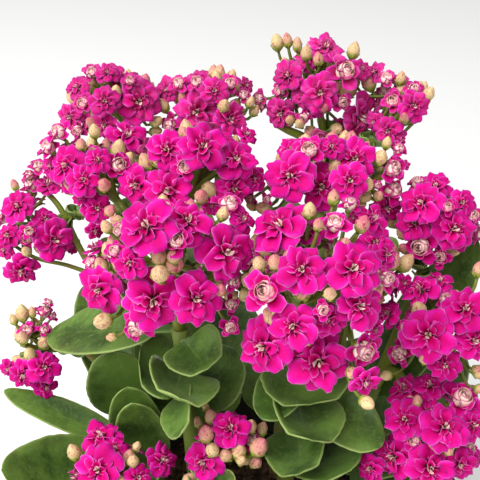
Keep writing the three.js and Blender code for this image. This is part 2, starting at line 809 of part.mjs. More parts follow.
function leafSolid(leaf, base) {
  const tip = leaf.pixel ? pointAt(leaf.pixel) : vec(leaf.tip);
  const span = tip.clone().sub(base);
  const length = span.length();
  const ahead = span.clone().divideScalar(length);
  const faces = vec(leaf.faces ?? [0, leaf.pixel ? -leafShape.towardsViewer : 0, 1]);
  const side = new THREE.Vector3().crossVectors(ahead, faces).normalize();
  const normal = new THREE.Vector3().crossVectors(side, ahead);
  const fewer = (leaf.wide > leafShape.small ? 0 : 1) + (leaf.pixel ? 0 : 1);
  const steps = 2 * (leafShape.scallops - fewer);
  const midrib = (t) =>
    base
      .clone()
      .addScaledVector(ahead, t * length)
      .addScaledVector(normal, 4 * leaf.bend * (t * t - t));
  const halfWidth = (t, i) => {
    const blade = THREE.MathUtils.clamp((t - leafShape.bladeStart) / (1 - leafShape.bladeStart), 0, 1);
    const wave = 1 + leafShape.wave * (i % 2 ? 1 : -1);
    const outline = Math.sin(Math.PI * blade ** leafShape.skew) ** leafShape.fullness;
    return leafShape.petiole / 2 + leaf.wide * wave * outline;
  };
  const edge = (sign, face) =>
    Array.from({ length: steps - 1 }, (_, k) => {
      const i = k + 1;
      const t = i / steps;
      const w = halfWidth(t, i);
      const rise = Math.sqrt(Math.sin(Math.PI * Math.min(t + leafShape.cupStart, 1)));
      const lift = leaf.cup * (w / leaf.wide) ** leafShape.cupCurve * rise;
      return midrib(t)
        .addScaledVector(side, sign * w)
        .addScaledVector(normal, lift + (face * leafShape.rim) / 2);
    });
  const middle = (face) =>
    Array.from({ length: steps / 2 - 1 }, (_, k) =>
      midrib((2 * k + 2) / steps).addScaledVector(normal, (face * leafShape.thick) / 2),
    );
  const root = base.clone().addScaledVector(ahead, -leafShape.rootDepth);
  const end = (face) => midrib(1).addScaledVector(normal, (face * leafShape.rim) / 2);
  const upper = [edge(-1, 1), middle(1), edge(1, 1), [end(1)]];
  const lower = [edge(-1, -1), middle(-1), edge(1, -1), [end(-1)]];
  const rows = [[root], ...upper, ...lower];
  const points = rows.flat();
  const starts = rows.map((_, i) => rows.slice(0, i).reduce((n, row) => n + row.length, 0));
  const row = (i, tipRow) => [0, ...rows[i].map((_, k) => starts[i] + k), starts[tipRow]];
  const [leftTop, midTop, rightTop] = [row(1, 4), row(2, 4), row(3, 4)];
  const [leftLow, midLow, rightLow] = [row(5, 8), row(6, 8), row(7, 8)];
  const triangles = [];
  const add = (a, b, c, flip) => {
    if (a !== b && b !== c && a !== c) triangles.push(flip ? [a, c, b] : [a, b, c]);
  };
  const strip = (outer, inner, flip) => {
    for (let i = 0; i < inner.length - 1; i++) {
      add(outer[2 * i], outer[2 * i + 1], inner[i], flip);
      add(outer[2 * i + 1], inner[i + 1], inner[i], flip);
      if (2 * i + 2 < outer.length - 1) add(outer[2 * i + 1], outer[2 * i + 2], inner[i + 1], flip);
    }
  };
  const wall = (top, low, flip) => {
    for (let i = 0; i + 1 < top.length; i++) {
      add(top[i], top[i + 1], low[i + 1], flip);
      add(top[i], low[i + 1], low[i], flip);
    }
  };
  strip(leftTop, midTop, true);
  strip(rightTop, midTop, false);
  strip(leftLow, midLow, false);
  strip(rightLow, midLow, true);
  wall(leftTop, leftLow, false);
  wall(rightTop, rightLow, true);
  return solidFrom(points, triangles);
}

// Shoots. A stem stands straight in its hole and leans out above the soil to its fork.

function stemCurve(shoot) {
  const root = vec([...shoot.root, soil.surface - soil.holeDepth + stemShape.gap]);
  const ground = vec([...shoot.root, soil.surface + stemShape.straight]);
  const fork = vec(shoot.fork);
  const knee = ground.clone().lerp(fork, stemShape.knee).addScaledVector(up, stemShape.kneeRise);
  return new THREE.CatmullRomCurve3([root, ground, knee, fork]);
}

const nodeSteps = 60;

function shootSolid(shoot) {
  const curve = stemCurve(shoot);
  const spans = stemShape.rings - 1;
  const points = curve.getPoints(spans);
  const radii = points.map((_, i) => THREE.MathUtils.lerp(stemShape.root, stemShape.fork, i / spans));
  const pieces = [tube(points, radii, stemShape.sides)];
  for (const head of heads.filter((h) => h.shoot === shoot.name)) pieces.push(stalkSolid(head));
  for (const leaf of shoot.leaves) pieces.push(leafSolid(leaf, nodeOn(curve, leaf.node)));
  return fuse(pieces);
}

function stalkSolid(head) {
  const { fork, control, axis, hub } = stalkOf(head);
  const start = fork.clone().lerp(control, -stalkShape.overlap);
  const end = hub.clone().addScaledVector(axis, -stalkShape.neck - stemShape.gap);
  const { spans, sides } = stalkShape;
  const path = new THREE.QuadraticBezierCurve3(start, control, end).getPoints(spans);
  const radii = path.map((_, i) => THREE.MathUtils.lerp(stalkShape.fork, stalkShape.end, i / spans));
  return tube(path, radii, sides);
}

function nodeOn(curve, height) {
  const samples = curve.getPoints(nodeSteps);
  return samples.reduce((a, b) => (Math.abs(b.z - height) < Math.abs(a.z - height) ? b : a));
}

// Pot and soil. The pot's inner wall narrows under the rim at a ledge.

const ledgeHeight = pot.height - pot.rimHeight - pot.ledge;

function potSolid() {
  const { footRadius, bodyRadius, rimRadius, height, rimHeight, rimFlare, wall, floor } = pot;
  const profile = [
    [0, 0],
    [footRadius, 0],
    [bodyRadius, height - rimHeight],
    [rimRadius, height - rimHeight],
    [rimRadius + rimFlare, height],
    [rimRadius + rimFlare - wall, height],
    [bodyRadius - wall, ledgeHeight],
    [footRadius - wall, floor],
    [0, floor],
  ];
  const drains = Array.from({ length: pot.drainCount }, (_, i) => {
    const turn = (i * 2 * Math.PI) / pot.drainCount;
    const hole = plug(pot.drainRadius, 4 * floor);
    return hole.translate([pot.drainCircle * Math.cos(turn), pot.drainCircle * Math.sin(turn), 0]);
  });
  return turned(profile).subtract(fuse(drains));
}

function turned(profile) {
  const outline = profile.map(([x, y]) => new THREE.Vector2(x, y));
  return solidOf(new THREE.LatheGeometry(outline, pot.sides).rotateX(Math.PI / 2));
}

function plug(radius, length) {
  return solidOf(new THREE.CylinderGeometry(radius, radius, length, holeSides).rotateX(Math.PI / 2));
}

// The soil's foot and its edge follow the inner wall of the pot, which is straight from its floor to its
// ledge.
function soilSolid() {
  const bottom = pot.floor + soil.floorGap;
  const foot = pot.footRadius - pot.wall;
  const edge = pot.bodyRadius - pot.wall;
  const lean = (edge - foot) / (ledgeHeight - pot.floor);
  const profile = [
    [0, bottom],
    [foot + lean * soil.floorGap - soil.wallGap, bottom],
    [edge - soil.wallGap, ledgeHeight],
    [soil.mound * pot.bodyRadius, soil.surface],
    [0, soil.surface + soil.crown],
  ];
  const holes = shoots.map((shoot) => {
    const middle = soil.surface - soil.holeDepth + soil.holeLength / 2;
    return plug(soil.holeRadius, soil.holeLength).translate([...shoot.root, middle]);
  });
  return turned(profile).subtract(fuse(holes));
}

// Materials, and the plant put together.

const material = (color, roughness) => new THREE.MeshStandardMaterial({ color, roughness, metalness: 0 });
const potPlastic = material(0x2b2a28, 0.6);
const peat = material(0x33241a, 0.95);
const leafGreen = material(0x3f6f2a, 0.45);
const petalMagenta = material(0xd6128c, 0.5);

function part(name, solid, finish) {
  const mesh = new THREE.Mesh(geometryOf(solid), finish);
  mesh.name = name;
  return mesh;
}

const plant = new THREE.Group();
plant.add(part("pot", potSolid(), potPlastic));
plant.add(part("soil", soilSolid(), peat));
for (const shoot of shoots) plant.add(part(shoot.name, shootSolid(shoot), leafGreen));
for (const [i, flowers] of allFlowers().entries())
  plant.add(part(heads[i].name, headSolid(heads[i], flowers), petalMagenta));

export default plant;
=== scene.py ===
# A potted flaming katy with double magenta blooms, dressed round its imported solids.
import math

import bmesh
import bpy
import numpy as np
from mathutils import Matrix, Vector


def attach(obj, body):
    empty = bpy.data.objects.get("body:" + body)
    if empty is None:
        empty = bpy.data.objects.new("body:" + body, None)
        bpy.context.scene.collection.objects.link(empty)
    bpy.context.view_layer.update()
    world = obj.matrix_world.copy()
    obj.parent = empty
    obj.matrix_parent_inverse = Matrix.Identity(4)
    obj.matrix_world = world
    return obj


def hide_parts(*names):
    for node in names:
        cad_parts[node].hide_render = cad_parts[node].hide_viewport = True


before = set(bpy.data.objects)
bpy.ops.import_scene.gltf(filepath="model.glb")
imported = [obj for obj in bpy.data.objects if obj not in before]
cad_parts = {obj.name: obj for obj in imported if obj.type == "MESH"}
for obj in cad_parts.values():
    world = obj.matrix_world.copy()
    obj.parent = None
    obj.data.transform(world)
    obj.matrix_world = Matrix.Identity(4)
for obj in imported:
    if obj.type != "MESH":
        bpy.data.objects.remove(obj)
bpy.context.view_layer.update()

# The plant is laid out in millimetres as its solids are, and every mesh is made in metres.
mm = 0.001
goldenAngle = math.pi * (3 - math.sqrt(5))

# The eye point and the width of the view turn a pixel of the 480 pixel picture into a line of sight.
view = {"eye": (0, -265, 405), "tilt": 33, "focal": 896, "middle": 240, "margin": 10}

# Each shoot has its place in the soil, the fork of its flower stalks and its leaves. A leaf has the height of
# its node, its tip, its half width, how far its middle sags, how far its margins rise and, if it doesn't lie
# level, the way that its face looks. A tip is (x, y, z), or a pixel and its depth from the eye.
leafKeys = ("node", "spot", "tip", "wide", "bend", "cup", "faces")
shoots = [
    {
        "name": "shoot_left", "root": (-18, -2), "fork": (-23, 4, 190),
        "leaves": [
            (187, "pixel", (208, 368, 322), 9.5, 3, 5, (-0.3, -0.3, 1)),
            (174, "pixel", (180, 398, 320), 12, 5, 7, (0.4, -0.3, 1)),
            (170, "pixel", (139, 362, 344), 13, 6, 6),
            (164, "pixel", (178, 436, 322), 6.5, 1, 3, (-0.7, -0.3, 0.7)),
            (152, "pixel", (238, 352, 356), 12, 3, 4),
            (189, "pixel", (48, 334, 378), 12, 0, 3),
        ],
    },
    {
        "name": "shoot_right", "root": (18, -4), "fork": (25, 0, 190),
        "leaves": [
            (184, "pixel", (310, 404, 318), 15, 7, 8, (-0.2, -0.3, 1)),
            (176, "pixel", (262, 419, 326), 7.5, 1, 3),
            (168, "pixel", (314, 440, 318), 12.5, 6, 7, (0.35, -0.3, 1)),
            (150, "pixel", (298, 474, 322), 10.3, 5, 6, (-0.4, -0.3, 1)),
            (164, "pixel", (382, 446, 334), 10, 1, 4),
            (162, "pixel", (340, 376, 354), 12, 3, 4),
            (138, "pixel", (350, 470, 330), 13, 3, 4),
        ],
    },
    {
        "name": "shoot_back_left", "root": (-13, 22), "fork": (-34, 64, 190),
        "leaves": [
            (134, "tip", (-48, 94, 158), 17, 4, 6),
            (120, "tip", (0, 86, 144), 16, 4, 6),
            (112, "tip", (-12, 26, 160), 12, 1, 3, (0, -1, 0.2)),
            (106, "tip", (-34, 22, 152), 13, 1, 3, (0, -1, 0.2)),
            (152, "tip", (-62, 72, 187), 12, 3, 5),
            (168, "tip", (-20, 92, 194), 12, 3, 4),
            (108, "tip", (-50, 78, 126), 14, 4, 5),
        ],
    },
    {
        "name": "shoot_back_right", "root": (17, 22), "fork": (36, 64, 190),
        "leaves": [
            (134, "tip", (42, 94, 158), 17, 4, 6),
            (114, "tip", (76, 62, 138), 17, 3, 5),
            (116, "tip", (12, 32, 158), 13, 1, 3, (0, -1, 0.2)),
            (152, "tip", (70, 74, 186), 12.5, 3, 5),
            (168, "tip", (22, 94, 194), 12, 3, 4),
            (104, "tip", (50, 76, 122), 15, 4, 5),
        ],
    },
    {
        "name": "shoot_far_right", "root": (35, 2), "fork": (56, 14, 152),
        "leaves": [
            (128, "tip", (98, 36, 150), 16, 3, 5),
            (114, "tip", (88, -16, 122), 16, 3, 5),
            (108, "tip", (46, -54, 128), 16, 4, 5),
            (109, "tip", (86, 20, 122), 14, 2, 4),
            (136, "pixel", (477, 239, 354), 11, 4, 4),
        ],
    },
    {
        "name": "shoot_far_left", "root": (-36, 8), "fork": (-60, 34, 142),
        "leaves": [
            (122, "pixel", (111, 351, 356), 12, 1, 2, (0.1, -1, 0.2)),
            (112, "pixel", (127, 388, 361), 9, 1, 2, (0.1, -1, 0.2)),
            (104, "pixel", (132, 404, 355), 9, 1, 2, (0.1, -1, 0.2)),
            (98, "pixel", (2, 470, 346), 17, 4, 6),
            (114, "pixel", (4, 390, 384), 5.2, 2, 2),
            (126, "tip", (-70, 66, 166), 10, 3, 4),
            (106, "tip", (-93, 6, 116), 13, 2, 4),
        ],
    },
    {
        "name": "shoot_front", "root": (-18, -26), "fork": (-20, -27, 116),
        "leaves": [
            (110, "tip", (-36, -80, 126), 16, 4, 6),
            (106, "tip", (22, -78, 124), 16, 4, 6),
            (112, "pixel", (234, 478, 330), 8, 2, 3),
            (107, "tip", (-8, -88, 124), 15, 2, 5),
        ],
    },
]

for shoot in shoots:
    shoot["leaves"] = [dict(zip(leafKeys, leaf)) for leaf in shoot["leaves"]]

# Each flower head has the shoot that carries it, the middle and the radii of its dome, and the flowers that
# show from the front, each by its pixel and the width that it fills there. A crowded head has no flowers at
# its back. Heads inside the plant and at its rear are filled by a rule, all but one bloom.
heads = [
    {
        "name": "head_front_right", "shoot": "shoot_right",
        "middle": (25, -28, 233), "radii": (24, 23, 25),
        "open": [
            (280, 226, 56), (302, 270, 44), (353, 269, 50), (359, 306, 44), (293, 326, 42), (263, 347, 52),
            (318, 362, 58), (373, 219, 30), (365, 382, 30), (387, 255, 28),
        ],
        "half": [
            (335, 225, 31), (350, 205, 22), (266, 292, 41), (385, 280, 27), (323, 310, 20), (362, 350, 36),
        ],
        "buds": [
            (310, 217, 14), (358, 230, 15), (332, 205, 12), (261, 265, 14), (277, 263, 15), (329, 293, 13),
            (352, 372, 13), (365, 399, 14),
        ],
        "smallBuds": [(318, 230, 11)],
        "moreOpen": [(375, 330, 18)],
    },
    {
        "name": "head_front_left", "shoot": "shoot_left",
        "middle": (-23, -20, 239), "radii": (24, 22, 22),
        "open": [
            (147, 226, 52), (188, 221, 42), (226, 253, 52), (153, 301, 54), (196, 299, 47), (99, 290, 43),
            (130, 263, 30),
        ],
        "half": [
            (228, 206, 30), (176, 241, 30), (115, 251, 20), (138, 326, 33), (232, 281, 21), (230, 304, 20),
            (230, 327, 20),
        ],
        "buds": [
            (161, 272, 18), (173, 257, 13), (219, 218, 12), (112, 230, 12), (106, 318, 17), (220, 290, 13),
        ],
        "smallBuds": [(116, 330, 9)],
        "moreOpen": [(243, 219, 26)],
    },
    {
        "name": "head_upper_left", "shoot": "shoot_left",
        "middle": (-16, 27, 247), "radii": (25, 18, 18),
        "open": [
            (168, 191, 46), (167, 150, 36), (203, 147, 45), (236, 159, 38), (136, 185, 36), (254, 179, 26),
            (234, 189, 32),
        ],
        "half": [(185, 167, 25)],
        "buds": [(201, 193, 14), (122, 215, 12)],
        "moreOpen": [(247, 134, 20), (211, 206, 18)],
    },
    {
        "name": "head_left", "shoot": "shoot_left",
        "middle": (-54, 36, 237), "radii": (19, 18, 19),
        "open": [(66, 166, 36), (84, 180, 30), (127, 136, 38), (97, 208, 28), (98, 160, 24)],
        "half": [(118, 165, 27), (49, 148, 24), (59, 133, 24)],
        "buds": [(104, 185, 14), (110, 210, 12), (95, 136, 12)],
        "smallBuds": [(82, 145, 10)],
        "moreOpen": [(50, 166, 18), (95, 231, 18), (79, 199, 12)],
    },
    {
        "name": "head_back_left", "shoot": "shoot_back_left",
        "middle": (-53, 92, 244), "radii": (20, 18, 17),
        "open": [(139, 102, 42), (105, 101, 28), (77, 87, 24), (107, 72, 22), (70, 117, 24), (104, 125, 24)],
        "half": [(92, 73, 20), (130, 81, 16), (83, 103, 20)],
        "smallBuds": [(153, 129, 11), (92, 122, 11), (155, 121, 12)],
        "moreHalf": [(78, 130, 18)],
    },
    {
        "name": "head_back_middle", "shoot": "shoot_back_left",
        "middle": (-13, 90, 245), "radii": (18, 18, 16),
        "open": [(197, 112, 44), (167, 90, 24), (214, 91, 26), (230, 119, 32)],
        "half": [(171, 124, 22), (197, 82, 20), (179, 84, 20), (230, 84, 20), (243, 95, 16)],
        "buds": [(165, 106, 12), (222, 106, 12)],
        "smallBuds": [(249, 110, 10), (246, 103, 10)],
        "moreOpen": [(246, 85, 16)],
    },
    {
        "name": "head_middle_right", "shoot": "shoot_right",
        "middle": (31.5, 32, 241.4), "radii": (27, 18, 18),
        "open": [
            (290, 176, 43), (321, 187, 41), (350, 181, 33), (291, 150, 26), (332, 147, 24), (355, 159, 38),
            (387, 208, 30),
        ],
        "half": [(309, 151, 30), (391, 169, 30), (391, 190, 28), (398, 150, 18)],
        "buds": [(348, 185, 14), (367, 185, 13), (379, 159, 14), (267, 205, 14)],
        "smallBuds": [(376, 194, 10), (382, 148, 10), (255, 204, 9)],
        "moreOpen": [(353, 217, 16), (406, 165, 10)],
        "moreHalf": [(251, 199, 16), (377, 185, 12), (267, 199, 12)],
    },
    {
        "name": "head_back_right", "shoot": "shoot_back_right",
        "middle": (32, 95, 249), "radii": (20, 18, 19),
        "open": [
            (288, 75, 29), (326, 47, 31), (320, 93, 35), (281, 113, 28), (360, 117, 42), (304, 96, 22),
            (344, 128, 22), (362, 69, 20),
        ],
        "half": [(344, 72, 34), (342, 102, 20), (260, 99, 20)],
        "buds": [(280, 47, 13), (307, 57, 12), (349, 56, 13), (310, 130, 12), (335, 126, 12)],
        "smallBuds": [
            (289, 44, 11), (298, 47, 11), (318, 61, 11), (291, 119, 10), (301, 121, 11), (323, 106, 10),
        ],
        "moreHalf": [(304, 117, 16), (263, 106, 12)],
    },
    {
        "name": "head_far_right", "shoot": "shoot_back_right",
        "middle": (69, 87, 242), "radii": (15, 16, 17),
        "open": [(375, 72, 20), (414, 106, 28), (388, 131, 26)],
        "half": [(387, 80, 22), (393, 101, 23), (413, 90, 20), (399, 138, 16)],
        "buds": [(370, 84, 15), (425, 96, 12)],
        "smallBuds": [(358, 83, 10), (401, 81, 11), (404, 117, 10)],
        "moreOpen": [(374, 122, 18)],
    },
    {
        "name": "head_right_top", "shoot": "shoot_far_right",
        "middle": (76, 28, 222), "radii": (15, 15, 17),
        "open": [(421, 203, 38), (454, 229, 40), (436, 186, 28), (415, 223, 32), (462, 203, 24)],
        "half": [(418, 184, 22), (447, 207, 18), (471, 215, 24), (421, 246, 34), (440, 257, 22)],
        "buds": [(393, 219, 16), (403, 233, 12)],
        "smallBuds": [(408, 246, 11)],
    },
    {
        "name": "head_right_middle", "shoot": "shoot_far_right",
        "middle": (75, -2, 195), "radii": (18, 17, 17),
        "open": [
            (420, 289, 33), (428, 335, 47), (466, 309, 42), (474, 341, 36), (440, 281, 24), (388, 313, 26),
            (445, 365, 30),
        ],
        "half": [(401, 353, 27)],
        "buds": [(476, 274, 12)],
        "smallBuds": [(426, 355, 11), (387, 375, 11), (474, 368, 10), (476, 383, 10), (473, 364, 11)],
    },
    {
        "name": "head_low_right", "shoot": "shoot_far_right",
        "middle": (73.5, -18, 159), "radii": (19, 18, 18),
        "open": [
            (405, 388, 36), (430, 385, 30), (405, 419, 36), (445, 427, 42), (474, 425, 28), (393, 457, 43),
            (430, 468, 45), (460, 465, 30), (370, 468, 26),
        ],
        "half": [(462, 399, 36)],
        "smallBuds": [(418, 402, 10), (448, 450, 10)],
        "moreOpen": [(476, 460, 18)],
    },
    {
        "name": "head_low_left", "shoot": "shoot_front",
        "middle": (-49, -21, 139), "radii": (15, 14, 13),
        "open": [(101, 437, 37), (98, 470, 44), (163, 460, 32), (138, 478, 26)],
        "buds": [(76, 454, 14), (132, 462, 12), (182, 479, 14)],
        "smallBuds": [(135, 449, 9)],
    },
    {
        "name": "head_low_middle", "crowded": True, "shoot": "shoot_front",
        "middle": (-5, -18, 150), "radii": (13, 12, 12),
        "open": [(231, 428, 34), (203, 462, 36)],
        "buds": [
            (212, 419, 13), (207, 435, 16), (213, 450, 14), (247, 430, 13), (259, 431, 12), (253, 447, 18),
            (255, 462, 13),
        ],
        "smallBuds": [(201, 425, 10), (208, 412, 8), (241, 460, 11)],
    },
    {
        "name": "head_low_far_left", "shoot": "shoot_far_left",
        "middle": (-89, 32, 155), "radii": (12, 12, 14),
        "open": [(24, 375, 28), (44, 367, 30), (46, 387, 22), (8, 369, 18)],
        "half": [(44, 313, 20), (44, 330, 14)],
        "buds": [(23, 316, 14), (23, 338, 12)],
        "smallBuds": [(16, 323, 9), (32, 314, 9)],
        "moreHalf": [(52, 317, 12), (48, 303, 12)],
    },
    {
        "name": "head_far_left", "shoot": "shoot_back_left",
        "middle": (-89, 65, 197), "radii": (15, 15, 15),
        "open": [(18, 207, 30), (8, 235, 24), (54, 240, 36), (21, 271, 32), (48, 184, 24), (75, 246, 16)],
        "half": [(31, 186, 24), (38, 168, 20), (29, 231, 17)],
        "smallBuds": [(27, 250, 10), (16, 188, 9)],
        "moreOpen": [(4, 250, 20)],
        "moreHalf": [(29, 176, 14)],
    },
    {
        "name": "head_inner_middle", "inner": True, "shoot": "shoot_right",
        "middle": (3, 10, 212), "radii": (17, 13, 15),
    },
    {
        "name": "head_inner_right", "inner": True, "shoot": "shoot_right",
        "middle": (50.5, 12, 208), "radii": (12, 12, 19),
        "moreOpen": [(404, 283, 18)],
    },
    {
        "name": "head_inner_left", "inner": True, "shoot": "shoot_left",
        "middle": (-46, 12, 210), "radii": (13, 13, 14),
    },
    {
        "name": "head_rear_left", "shoot": "shoot_back_left",
        "middle": (-42, 112, 196), "radii": (18, 16, 16),
    },
    {
        "name": "head_rear_right", "shoot": "shoot_back_right",
        "middle": (46, 118, 198), "radii": (18, 16, 16),
    },
]

# The lists of a head: the kind of flower that each holds, and the layer that it belongs to. The solids have
# the seen and the far layer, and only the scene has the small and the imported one.
flowerLists = {
    "open": ("open", "seen"), "half": ("half", "seen"), "buds": ("bud", "seen"),
    "smallBuds": ("bud", "small"), "moreOpen": ("open", "small"), "moreHalf": ("half", "small"),
}

# How flowers lie on their domes, as in the solids.
slant = 1.22  # a bloom is wider than it shows
calyxDepth = {"open": 0.62, "half": 0.62, "bud": 1.3}  # shares of a flower's radius
budRise = 3
farSide = {
    "tries": 13, "lowest": -0.3, "hidden": -0.35, "open": 0.4, "outerRoom": 1.2, "innerRoom": 1,
    "stalkRoom": -0.3, "diameters": (14.5, 13, 12, 6), "kinds": ("open", "half", "open", "bud"),
}
# Round spots, as a pixel and a radius in pixels, where the pale background shows between the flowers.
backdropGaps = [
    (88, 205, 16), (265, 194, 12), (262, 134, 20), (95, 335, 20), (78, 372, 16), (424, 134, 20),
    (265, 154, 13), (37, 213, 9), (52, 209, 9), (70, 200, 8), (9, 348, 16), (468, 196, 9), (430, 108, 9),
    (140, 70, 12), (203, 68, 12), (271, 66, 13), (318, 76, 9), (412, 78, 10), (379, 62, 10),
    (443, 178, 9), (406, 126, 10),
]
settling = {"rounds": 30, "clear": 0.8, "step": 0.25}
facingShares = {
    "open": {"front": 1, "up": 0.25, "lean": 0.6, "leastOut": 0.25},
    "half": {"front": 0.6, "up": 0.5, "lean": 0.6, "leastOut": 0.3},
    "bud": {"front": 0, "up": 1.7, "lean": 0.7, "leastOut": 0.3},
    "easing": 0.25,
}
seeds = {"seen": 1000, "farSide": 5000, "step": 77, "packed": 900, "head": 300, "shoot": 700, "soil": 41}
soil = {"surface": 91, "crown": 3, "holeDepth": 24}
headShape = {"hub": 0.72, "bend": 0.42}

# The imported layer: blooms and buds inside each dome, where the solids have its core.
packing = {
    "tries": 90, "lowest": -0.7, "nearest": 0.66, "furthest": 0.8, "cover": 0.62, "depth": 3,
    "stalkRoom": -0.75,
    "diameters": (12.5, 11.5, 10.5, 5.5, 6), "kinds": ("open", "open", "half", "bud", "bud"),
}


# Places

def vec(values):
    return np.array(values, float)


def unit(vector):
    return vector / np.linalg.norm(vector)


up = vec((0, 0, 1))
eye = vec(view["eye"])
tilt = math.radians(view["tilt"])
aheadOfEye = vec((0, math.cos(tilt), -math.sin(tilt)))
pictureUp = vec((0, math.sin(tilt), math.cos(tilt)))


def sightLine(u, v):
    aside = vec(((u - view["middle"]) / view["focal"], 0, 0))
    return aheadOfEye + aside - pictureUp * ((v - view["middle"]) / view["focal"])


def pointAt(pixel):
    u, v, depth = pixel
    return eye + sightLine(u, v) * depth


def pixelOf(point):
    away = point - eye
    depth = away @ aheadOfEye
    aside = away[0] / depth * view["focal"]
    above = away @ pictureUp / depth * view["focal"]
    return view["middle"] + aside, view["middle"] - above, depth


def drawer(seed):  # a seeded row of numbers from 0 to 1, the same as in the solids
    state = seed

    def draw():
        nonlocal state
        state = state * 16807 % 2147483647
        return state / 2147483647

    return draw


def frameOf(normal, hint=(1, 0, 0)):
    across = vec(hint) - normal * (normal @ vec(hint))
    if across @ across < 1e-4:
        across = vec((0, 1, 0)) - normal * normal[1]
    across = unit(across)
    return np.stack([across, np.cross(normal, across), normal])


def onDome(head, u, v):
    radii = vec(head["radii"])
    start = (eye - vec(head["middle"])) / radii
    line = sightLine(u, v)
    along = line / radii
    a = along @ along
    b = start @ along
    room = b * b - a * (start @ start - 1)
    return eye + line * ((-b - math.sqrt(max(room, 0))) / a)


def domeNormal(head, point):
    return unit((point - vec(head["middle"])) / vec(head["radii"]) ** 2)


def facing(kind, place, outward, inFront, draw):
    shares = facingShares[kind]
    lean = vec((draw() - 0.5, draw() - 0.5, draw() - 0.5))
    front = shares["front"] if inFront else 0
    pull = lean * shares["lean"] + up * shares["up"] + unit(eye - place) * front
    share = 1
    while share > 0:
        normal = unit(outward + pull * share)
        if normal @ outward > shares["leastOut"]:
            return normal
        share -= facingShares["easing"]
    return outward


def flowerAt(kind, layer, place, radius, normal, spin):
    return {"kind": kind, "layer": layer, "place": place, "radius": radius, "normal": normal, "spin": spin}


def seenFlowers(head, index):
    draw = drawer(seeds["seen"] + seeds["step"] * index)
    found = []
    for key, (kind, layer) in flowerLists.items():
        for u, v, width in head.get(key, []):
            place = onDome(head, u, v)
            radius = width * pixelOf(place)[2] / view["focal"] / 2 * (1 if kind == "bud" else slant)
            outward = domeNormal(head, place)
            if kind == "bud":
                place = place + outward * (budRise * draw())
            normal = facing(kind, place, outward, True, draw)
            spin = draw() * math.pi
            found.append(flowerAt(kind, layer, place, radius, normal, spin))
    return found


def crossing(a, b):  # how far two flowers reach into each other, along the way they face
    apart = b["place"] - a["place"]
    reach = 2 * (a["radius"] + b["radius"])
    if abs(apart[0]) > reach or apart @ apart > reach * reach:
        return 0
    rise = apart @ unit(a["normal"] + b["normal"])
    across = math.sqrt(max(apart @ apart - rise * rise, 0))
    return calyxDepth["open"] * (a["radius"] + b["radius"] + settling["clear"] - across) - abs(rise)


def settle(flowers):  # flowers whose faces would cross slide apart along their lines of sight
    for _ in range(settling["rounds"]):
        for i, a in enumerate(flowers):
            for b in flowers[i + 1:]:
                depth = crossing(a, b)
                if depth <= 0:
                    continue
                rise = (b["place"] - a["place"]) @ (a["normal"] + b["normal"])
                step = settling["step"] * depth * (1 if rise >= 0 else -1)
                a["place"] = a["place"] - unit(eye - a["place"]) * step
                b["place"] = b["place"] + unit(eye - b["place"]) * step


def stalkOf(head):
    shoot = next(s for s in shoots if s["name"] == head["shoot"])
    fork = vec(shoot["fork"])
    middle = vec(head["middle"])
    rise = unit(fork - vec((*shoot["root"], soil["surface"])))
    control = fork + rise * (headShape["bend"] * np.linalg.norm(middle - fork))
    axis = unit(middle - control)
    hub = middle - axis * (headShape["hub"] * sum(head["radii"]) / 3)
    return fork, control, axis, hub


def spiral(tries, lowest, turn):  # ways out of a dome, evenly from its top down
    for i in range(tries):
        height = 1 - (i + 0.5) / tries * (1 - lowest)
        flat = math.sqrt(1 - height * height)
        angle = i * goldenAngle + turn
        yield vec((flat * math.cos(angle), flat * math.sin(angle), height))


def inGap(u, v):
    return any(math.hypot(u - x, v - y) < reach for x, y, reach in backdropGaps)


def farFlowers(head, index, placed):
    draw = drawer(seeds["farSide"] + seeds["step"] * index)
    axis = stalkOf(head)[2]
    inner = "inner" in head
    room = farSide["innerRoom" if inner else "outerRoom"]
    found = []
    for way in spiral(farSide["tries"], farSide["lowest"], index):
        place = way * vec(head["radii"]) + vec(head["middle"])
        outward = domeNormal(head, place)
        u, v, _ = pixelOf(place)
        fromMiddle = max(abs(u - view["middle"]), abs(v - view["middle"]))
        inPicture = fromMiddle < view["middle"] + view["margin"]
        seen = outward @ unit(eye - place) if ("open" in head or inner) and inPicture else -1
        if not inner and farSide["hidden"] < seen < farSide["open"]:
            continue
        if inPicture and inGap(u, v):
            continue
        if "crowded" in head or way @ axis < farSide["stalkRoom"]:
            continue
        if any(h is not head and inDome(h, place, room) for h in heads):
            continue
        pick = math.floor(draw() * len(farSide["kinds"]))
        kind = farSide["kinds"][pick]
        radius = farSide["diameters"][pick] / 2
        normal = facing(kind, place, outward, seen > 0, draw)
        flower = flowerAt(kind, "far", place, radius, normal, draw() * math.pi)
        if all(crossing(other, flower) <= 0 for other in placed + found):
            found.append(flower)
    return found


def inDome(head, place, room=1):
    return np.linalg.norm((place - vec(head["middle"])) / vec(head["radii"])) < room


